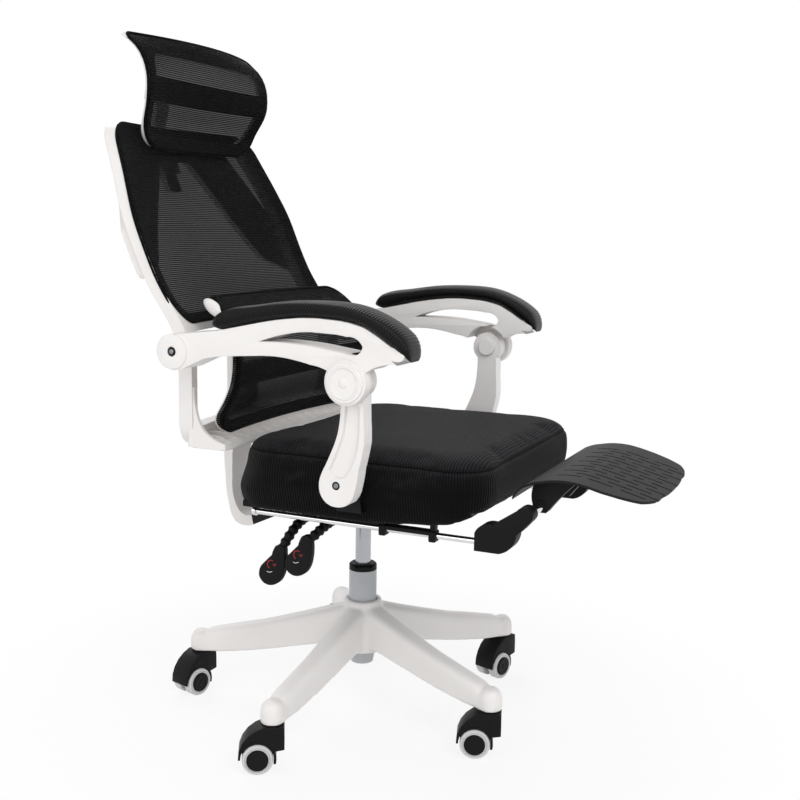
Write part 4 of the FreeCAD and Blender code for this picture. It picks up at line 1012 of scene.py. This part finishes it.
@dataclass(frozen=True)
class Cowls:
    """The full black covers that fill the room between each leg end and its wheels."""

    half: float = 20.5
    wheel: float = 25.0
    room: float = 27.2
    trail: float = 24.0
    edge: float = 1.2
    outer: Line = (
        (-19.0, 40.0), (-19.0, 62.0), (-18.0, 78.0), (14.0, 78.0), (28.0, 72.0), (40.0, 63.0),
        (49.0, 51.0), (54.0, 38.0), (55.0, 24.0))

    def build(self, paint: Paint) -> None:
        """Build a cover for each caster, in line with its wheels."""
        arc = [(self.trail + self.room * math.cos(math.radians(angle)),
                self.wheel + self.room * math.sin(math.radians(angle)))
               for angle in range(-2, 156, 12)]
        line = list(self.outer) + arc
        for number in CASTERS:
            left, right = wheel_middles(number).values()
            across = (left - right).normalized()
            hood = frame["nodes"][f"caster_{number}_hood"]
            top = max((hood.matrix_world @ point.co for point in hood.data.vertices),
                      key=lambda spot: spot.z)
            middle = (left + right) / 2
            along = middle - top
            along.z = 0.0
            along = (along - across * along.dot(across)).normalized()
            foot = middle - along * self.trail * MM
            foot.z = 0.0
            spots = [foot + along * x * MM + Vector((0, 0, z * MM)) - across * self.half * MM
                     for x, z in line]
            item = drawn(f"caster_{number}_cowl", spots, [], [tuple(range(len(spots)))])
            with edit_mode():
                bpy.ops.mesh.extrude_region_move(
                    TRANSFORM_OT_translate={"value": tuple(across * self.half * 2 * MM)})
                bpy.ops.mesh.select_all(action="SELECT")
                bpy.ops.mesh.normals_make_consistent(inside=False)
            finish_with(item, "BEVEL", width=self.edge * MM, segments=3, limit_method="ANGLE",
                        angle_limit=math.radians(50))
            smooth_by_angle(item, 45)
            paint.piece(item, "black", f"caster_{number}")


@dataclass(frozen=True)
class FlowingBase:
    """The star base with its legs blended into the leg ends, as a single moulding."""

    voxel_mm: float = 2.4
    lifts: int = 9
    lift_mm: float = 0.6
    lift_from_m: float = 0.190
    lift_to_m: float = 0.292
    ring_m: float = 0.01
    flank_m: float = 0.108
    smooth_steps: int = 22

    def build(self, paint: Paint) -> None:
        """Remesh a copy of the CAD base, raise the leg tops near the ends and smooth it."""
        item = copy_node("star_base", "star_base_moulding")
        finish_with(item, "REMESH", mode="VOXEL", voxel_size=self.voxel_mm * MM)
        spots = spots_of(item)
        reach = np.hypot(spots[:, 0], spots[:, 1])
        for number in range(self.lifts):
            pick(item, (reach > self.lift_from_m + self.ring_m * number)
                 & (reach < self.lift_to_m) & (spots[:, 2] > self.flank_m))
            with edit_mode(""):
                bpy.ops.transform.translate(value=(0.0, 0.0, self.lift_mm * MM))
        finish_with(item, "SMOOTH", factor=0.5, iterations=self.smooth_steps)
        item.data.shade_smooth()
        paint.piece(item, "white", "base", "star_base")


@dataclass(frozen=True)
class Wheels:
    """The black hubs that fill the middle of the pale treads."""

    face: float = 25.0
    profile: Line = (
        (0.0, 2.0), (4.0, 2.0), (5.0, 1.2), (8.0, 1.0), (9.0, 1.5), (15.0, 1.1), (17.0, 0.6),
        (17.6, -0.4), (17.6, -2.0), (0.0, -2.0))

    def build(self, paint: Paint) -> None:
        """Build a hub on each wheel's outer face."""
        for number in CASTERS:
            pair = wheel_middles(number)
            middle = (pair["left"] + pair["right"]) / 2
            for side, spot in pair.items():
                out = (spot - middle).normalized()
                item = lathe(f"caster_{number}_hub_{side}", self.profile,
                             middle + out * self.face * MM, out)
                paint.piece(item, "black", f"caster_{number}_wheel_{side}")


def soften(node: str, body: str, finish: str, edge_mm: float,
           paint: Paint, grow: float = 1.0) -> Item:
    """Replace a CAD node by a copy whose edges are truly rounded.

    Args:
        node: Name of the CAD node.
        body: Body that carries it.
        finish: Field name of Finishes.
        edge_mm: Size of the rounding.
        paint: The made materials.
        grow: How much larger the copy is than the node, about its middle.

    Returns:
        The rounded copy.
    """
    item = copy_node(node, node + "_moulding")
    with edit_mode():
        bpy.ops.mesh.dissolve_limited(angle_limit=math.radians(3))
        if grow != 1.0:
            spots = np.array([corner[:] for corner in item.bound_box])
            bpy.ops.transform.resize(value=(1.0, grow, grow),
                                     center_override=tuple((spots.min(0) + spots.max(0)) / 2))
    finish_with(item, "BEVEL", width=edge_mm * MM, segments=4, limit_method="ANGLE",
                angle_limit=math.radians(38), use_clamp_overlap=True)
    smooth_by_angle(item, 40)
    paint.piece(item, finish, body, node)
    return item


@dataclass(frozen=True)
class Marks:
    """Plain printed signs on a paddle: a red arc with an arrow head, and a white bar."""

    lever: str
    paddle: Item
    arc_radius: float = 7.5
    arc_up: float = 1.0
    ink: tuple[float, float] = (-0.25, 0.6)

    def build(self, paint: Paint) -> None:
        """Lay the signs on the paddle's outer face."""
        spots = spots_of(self.paddle)
        low, high = spots.min(0), spots.max(0)
        middle = (low + high) / 2
        turns = [math.radians(-60 + 15 * step) for step in range(13)]
        arc = [(self.arc_radius * math.cos(turn), self.arc_radius * math.sin(turn) + self.arc_up)
               for turn in turns]
        for kind, line, wide, finish in (
                ("arc", arc, 1.5, "print_red"),
                ("arrow", [(-9.0, 4.0), (-6.5, -1.0), (-3.0, 3.0)], 1.5, "print_red"),
                ("bar", [(-2.0, -11.0), (4.0, -13.0), (9.0, -12.0)], 1.2, "print_white")):
            self.strip(kind, line, wide, low[0], middle, finish, paint)

    def strip(self, kind: str, line: Line, wide: float, face: float,
              middle: np.ndarray, finish: str, paint: Paint) -> None:
        """Print one line of ink.

        Args:
            kind: What the line is.
            line: Its points across and up from the paddle's middle, in millimetres.
            wide: Width of the line.
            face: Where the paddle's outer face lies.
            middle: The paddle's middle.
            finish: Field name of Finishes.
            paint: The made materials.
        """
        spots = np.array(line)
        ahead = np.gradient(spots, axis=0)
        side = np.stack([-ahead[:, 1], ahead[:, 0]], 1)
        side /= np.linalg.norm(side, axis=1)[:, None]
        points = []
        for depth in self.ink:
            for way in (-0.5, 0.5):
                edge = spots + side * wide * way
                points.append(np.stack([np.full(len(edge), face / MM + depth),
                                        middle[1] / MM + edge[:, 0],
                                        middle[2] / MM + edge[:, 1]], 1))
        count = len(spots)
        rings = np.concatenate([np.stack([points[0][i], points[1][i], points[3][i],
                                          points[2][i]]) for i in range(count)])
        faces: list[tuple[int, ...]] = list(loft_faces(count, 4, True))
        faces += [(3, 2, 1, 0), tuple((count - 1) * 4 + i for i in range(4))]
        item = mesh_piece(f"{self.lever}_sign_{kind}", rings, faces)
        face_outward(item)
        paint.piece(item, finish, self.lever + "_lever")


@dataclass(frozen=True)
class OvalPlug:
    """The white end of the lumbar frame that shows past the cloth at its upper corners."""

    side: int
    profile: Line = (
        (0.0, -7.0), (15.0, -6.4), (20.5, -4.4), (23.0, -0.8), (22.4, 2.4), (19.2, 5.0),
        (13.0, 6.6), (6.0, 7.0), (0.0, 7.0))
    flatten: float = 0.457
    lean: float = -36.0
    place: tuple[float, float, float] = (0.215, 0.172, 0.728)

    def build(self, paint: Paint) -> None:
        """Build the oval as a flattened dome."""
        item = lathe("lumbar_corner_" + ("right" if self.side < 0 else "left"), self.profile,
                     Vector((0.0, 0.0, 0.0)), Vector((float(self.side), 0.0, 0.0)), 48)
        across, back, up = self.place
        with edit_mode():
            bpy.ops.transform.resize(value=(1.0, 1.0, self.flatten))
            bpy.ops.transform.rotate(value=math.radians(self.lean), orient_axis="X",
                                     center_override=(0.0, 0.0, 0.0))
            bpy.ops.transform.translate(value=(self.side * across, back, up))
        item.data.shade_smooth()
        paint.piece(item, "white", "lumbar")


@dataclass(frozen=True)
class RailClips:
    """The slim clips that hold the footrest rails under the seat, with a hook at each end."""

    spread: float = 200.0
    front: float = -222.0
    rear: float = -136.0
    high: float = 391.0
    edge: float = 2.6

    def build(self, paint: Paint) -> None:
        """Build both clips as one piece and hide the CAD clips."""
        boxes = []
        for side in (-1, 1):
            middle = side * self.spread
            boxes.append((middle, (self.front + self.rear) / 2, self.high + 4.0, 17.0,
                          self.rear - self.front, 8.0))
            for end in (self.front, self.rear):
                boxes.append((middle, end, self.high - 1.0, 19.0, 12.0, 18.0))
                boxes.append((middle, end, self.high + 14.0, 14.0, 9.0, 18.0))
        item = drawn("rail_clips", [], [], [])
        with edit_mode(""):
            for x, y, z, wide, long, tall in boxes:
                bpy.ops.mesh.select_all(action="DESELECT")
                bpy.ops.mesh.primitive_cube_add(size=1.0)
                bpy.ops.transform.resize(value=(wide * MM, long * MM, tall * MM),
                                         center_override=(0.0, 0.0, 0.0))
                bpy.ops.transform.translate(value=(x * MM, y * MM, z * MM))
        finish_with(item, "BEVEL", width=self.edge * MM, segments=4, limit_method="ANGLE")
        smooth_by_angle(item, 40)
        paint.piece(item, "black", "seat", "footrest_guides")


@dataclass(frozen=True)
class StrutBrackets:
    """The short black plates between the seat pan and the feet of the arm struts."""

    keep_above_m: float = 0.436
    squeeze: float = 0.3

    def build(self, paint: Paint) -> None:
        """Round the CAD brackets and keep them above the rails."""
        item = soften("strut_brackets", "seat", "housing", 2.5, paint)
        pick(item, spots_of(item)[:, 2] < self.keep_above_m)
        with edit_mode(""):
            bpy.ops.transform.resize(value=(1.0, 1.0, self.squeeze),
                                     center_override=(0.0, 0.0, self.keep_above_m))


def blunt_tip(name: str, side: int, paint: Paint) -> None:
    """Round the arm's edges, and draw in the corners of its front tip under the pad.

    Args:
        name: Right or left.
        side: Sign of that side across.
        paint: The made materials.
    """
    item = soften("arm_" + name, "arm_" + name, "white", 2.5, paint)
    spots = spots_of(item)
    away = spots[:, 0] * side
    tip_back, tip_inner, tip_outer = -0.212, 0.272, 0.312
    for corner in (away < tip_inner, away > tip_outer):
        pick(item, (spots[:, 1] < tip_back) & corner)
        with edit_mode(""):
            bpy.ops.transform.translate(value=(0.0, 0.013, 0.007))


# Profiles of the turned parts: radius and height of each point, in millimetres.
RECESS = ((0.0, 0.3), (6.0, 0.3), (6.6, 0.1), (6.6, -1.5), (0.0, -1.5))
SCREW = ((0.0, 0.6), (1.8, 0.6), (2.1, 1.1), (3.6, 1.0), (4.0, 0.5), (4.0, -0.5), (0.0, -0.5))
BUTTON = ((0.0, 1.4), (4.5, 1.2), (7.0, 0.6), (7.8, 0.0), (7.8, -1.5), (0.0, -1.5))
RIM = ((21.5, -0.5), (21.5, 0.5), (22.2, 0.9), (24.4, 0.9), (25.2, 0.3), (25.2, -0.5),
       (21.5, -0.5))
# Turned parts of an arm: node, body, place back and up, profile, finish and slot, all without
# the side's name, and how far beside the axis the face is looked for.
FITTINGS = (
    ("arm_strut_", "strut_", -101.0, 476.0, RECESS, "black", "black_plastic", 12.0),
    ("arm_strut_", "strut_", -101.0, 476.0, SCREW, "zinc", "cylinder_steel", 12.0),
    ("arm_", "arm_", 184.0, 665.0, RECESS, "black", "black_plastic", 14.0),
    ("arm_", "arm_", 184.0, 665.0, SCREW, "zinc", "cylinder_steel", 14.0),
    ("arm_cap_", "arm_", -127.0, 638.0, BUTTON, "white", "white_plastic", 0.0),
    ("arm_cap_", "arm_", -127.0, 638.0, RIM, "white", "white_plastic", 0.0))


# Camera, light and floor.

@dataclass(frozen=True)
class Studio:
    """The photograph's viewpoint, with plain soft light on a pale floor."""

    eye: tuple[float, float, float] = (-1.7834, -0.8884, 0.8664)
    yaw: float = 0.4309
    pitch: float = -0.152
    roll: float = 0.016
    lens: float = 51.07
    sensor: float = 36.0
    aim: tuple[float, float, float] = (0.0, 0.05, 0.6)
    lamps: tuple[tuple[str, tuple[float, float, float], float, float], ...] = (
        ("key_softbox", (-1.6, -2.2, 2.6), 1.8, 42.0),
        ("fill_softbox", (-2.8, 0.9, 1.5), 1.8, 14.0),
        ("rear_softbox", (1.6, 1.8, 2.4), 1.6, 22.0))

    def camera(self) -> None:
        """Create the camera."""
        ahead = Vector((math.cos(self.pitch) * math.cos(self.yaw),
                        math.cos(self.pitch) * math.sin(self.yaw), math.sin(self.pitch)))
        right = ahead.cross(Vector((0, 0, 1))).normalized()
        up = right.cross(ahead)
        across = right * math.cos(self.roll) + up * math.sin(self.roll)
        upward = up * math.cos(self.roll) - right * math.sin(self.roll)
        data = bpy.data.cameras.new("photograph_camera")
        data.lens = self.lens
        data.sensor_width = self.sensor
        item = add_object("photograph_camera", data)
        turn = Matrix((across, upward, -ahead)).transposed()
        item.matrix_world = Matrix.Translation(self.eye) @ turn.to_4x4()
        bpy.context.scene.camera = item

    def lamp(self, name: str, place: Sequence[float], size: float, power: float) -> None:
        """Add a large soft lamp that points at the middle of the chair.

        Args:
            name: Name of the lamp.
            place: Where it stands, in metres.
            size: Width of its face, in metres.
            power: Power in watts.
        """
        data = bpy.data.lights.new(name, "AREA")
        data.size = size
        data.energy = power
        item = add_object(name, data)
        item.location = place
        aim = Vector(self.aim) - Vector(place)
        item.rotation_euler = aim.to_track_quat("-Z", "Y").to_euler()

    def light(self) -> None:
        """Set the world and the lamps."""
        world = bpy.data.worlds.new("white_room")
        bpy.context.scene.world = world
        world.use_nodes = True
        tree = world.node_tree
        shade = tree.nodes["Background"].inputs
        path = add_node(tree, "ShaderNodeLightPath").outputs
        seen = path["Is Camera Ray"]
        for other in ("Is Glossy Ray", "Is Transmission Ray"):
            seen = add_node(tree, "ShaderNodeMath", {0: seen, 1: path[other]},
                            operation="MAXIMUM").outputs[0]
        add_node(tree, "ShaderNodeMapRange", {"Value": seen, "To Min": 0.66},
                 {"Result": shade["Strength"]})
        shade["Color"].default_value = (1.0, 1.0, 1.0, 1.0)
        for row in self.lamps:
            self.lamp(*row)

    def floor(self) -> None:
        """A plain pale floor that keeps the chair's shadow."""
        select_only(frame["nodes"]["star_base"])
        bpy.ops.mesh.primitive_plane_add(size=30.0, location=(0.0, 0.0, -0.0004))
        item = bpy.context.active_object
        item.name = "studio_floor"
        material, tree, shader = new_material("pale_matt_floor", {
            "Base Color": linear("#f4f4f4"), "Roughness": 0.9})
        path = add_node(tree, "ShaderNodeLightPath").outputs
        glow = add_node(tree, "ShaderNodeEmission", {"Color": (1, 1, 1, 1), "Strength": 1.0})
        seen = add_node(tree, "ShaderNodeMath", {
            0: path["Is Camera Ray"], 1: path["Is Glossy Ray"]}, operation="MAXIMUM").outputs[0]
        place = add_node(tree, "ShaderNodeTexCoord").outputs["Object"]
        away = add_node(tree, "ShaderNodeVectorMath", {0: place},
                        operation="LENGTH").outputs["Value"]
        fade = add_node(tree, "ShaderNodeMapRange", {
            "Value": away, "From Min": 0.40, "From Max": 0.9, "To Min": 0.84},
            interpolation_type="SMOOTHSTEP").outputs["Result"]
        share = add_node(tree, "ShaderNodeMath", {0: seen, 1: fade}, operation="MULTIPLY")
        add_node(tree, "ShaderNodeMixShader", {
            0: share.outputs[0], 1: tree.nodes["Principled BSDF"].outputs[0],
            2: glow.outputs[0]}, {0: tree.nodes["Material Output"].inputs["Surface"]})
        item.data.materials.append(material)


# Which finish each carried-over node gets.

@dataclass
class Carried:
    """The CAD nodes that keep their shape and get a better finish."""

    white: tuple[str, ...] = (
        "arm_strut_right", "arm_strut_left", "arm_cap_right", "arm_cap_left", "back_frame",
        "back_support", "j_bar", "lumbar_frame", "lumbar_guide", "lumbar_carrier",
        "headrest_frame", "headrest_post", "headrest_sleeve", "headrest_bracket")
    black: tuple[str, ...] = (
        "column_bush", "seat_pan", "recline_lever_hose", "height_lever_hose")
    housing: tuple[str, ...] = ("mechanism_housing", "recline_bracket")
    cylinder: tuple[str, ...] = (
        "gas_cylinder", "piston_rod", "thrust_bearing", "column_clip", "recline_pin", "arm_bolts")
    chrome: tuple[str, ...] = ("footrest_rails", "footrest_crossbar")
    plate: tuple[str, ...] = ("footrest_plate", "footrest_plate_clamp")
    column: tuple[str, ...] = ("column_tube",)

    def dress(self, paint: Paint) -> None:
        """Give each node its finish."""
        for finish in self.__dataclass_fields__:
            for node in getattr(self, finish):
                paint.node(node, finish)
        for number in CASTERS:
            paint.node(f"caster_{number}_hood", "black")
            for side in SIDES:
                paint.node(f"caster_{number}_wheel_{side}", "tread")


def main() -> None:
    """Build the pieces in order."""
    logging.basicConfig(level=logging.INFO, format="%(name)s: %(message)s")
    scene = bpy.context.scene
    scene.view_settings.view_transform = "Standard"
    paint = Paint(Finishes())
    Carried().dress(paint)
    StretchedMesh("back_cover", "back_mesh", "back", BACK_ROWS, 254.0, (
        (250.0, 703.0, 45.0), (249.0, 880.0, 196.0), (205.0, 1031.0, 47.0))).build(paint)
    StretchedMesh("lumbar_cover", "lumbar_mesh", "lumbar", LUMBAR_ROWS, 237.0, (
        (229.0, 525.0, 37.0), (235.0, 650.0, 137.0), (209.0, 743.0, 31.0)),
        turn_in=11.0).build(paint)
    StretchedMesh("headrest_cover", "headrest_mesh", "headrest", HEAD_ROWS, 190.0, (
        (157.0, 998.0, 48.0), (183.0, 1080.0, 88.0), (187.0, 1178.0, 8.0))).build(paint)
    soften("footrest_blocks", "footrest_slide", "black", 4.5, paint)
    for name in ("recline", "height"):
        paddle = soften(name + "_lever_paddle", name + "_lever", "black", 4.0,
                        paint, 1.14)
        Marks(name, paddle).build(paint)
    Wheels().build(paint)
    Cowls().build(paint)
    FlowingBase().build(paint)
    for side in (-1, 1):
        OvalPlug(side).build(paint)
    for side, name in ((-1, "right"), (1, "left")):
        for number, (node, body, *middle, aside) in enumerate(FITTINGS):
            Fitting(f"fitting_{name}_{number}", node + name, body + name, *middle, side,
                    aside).build(paint)
        blunt_tip(name, side, paint)
    RailClips().build(paint)
    StrutBrackets().build(paint)
    SeatCushion().build(paint)
    ArmPad(-1, "right").build(paint)
    ArmPad(1, "left").build(paint)
    studio = Studio()
    studio.camera()
    studio.light()
    studio.floor()


if __name__ == "__main__":
    main()
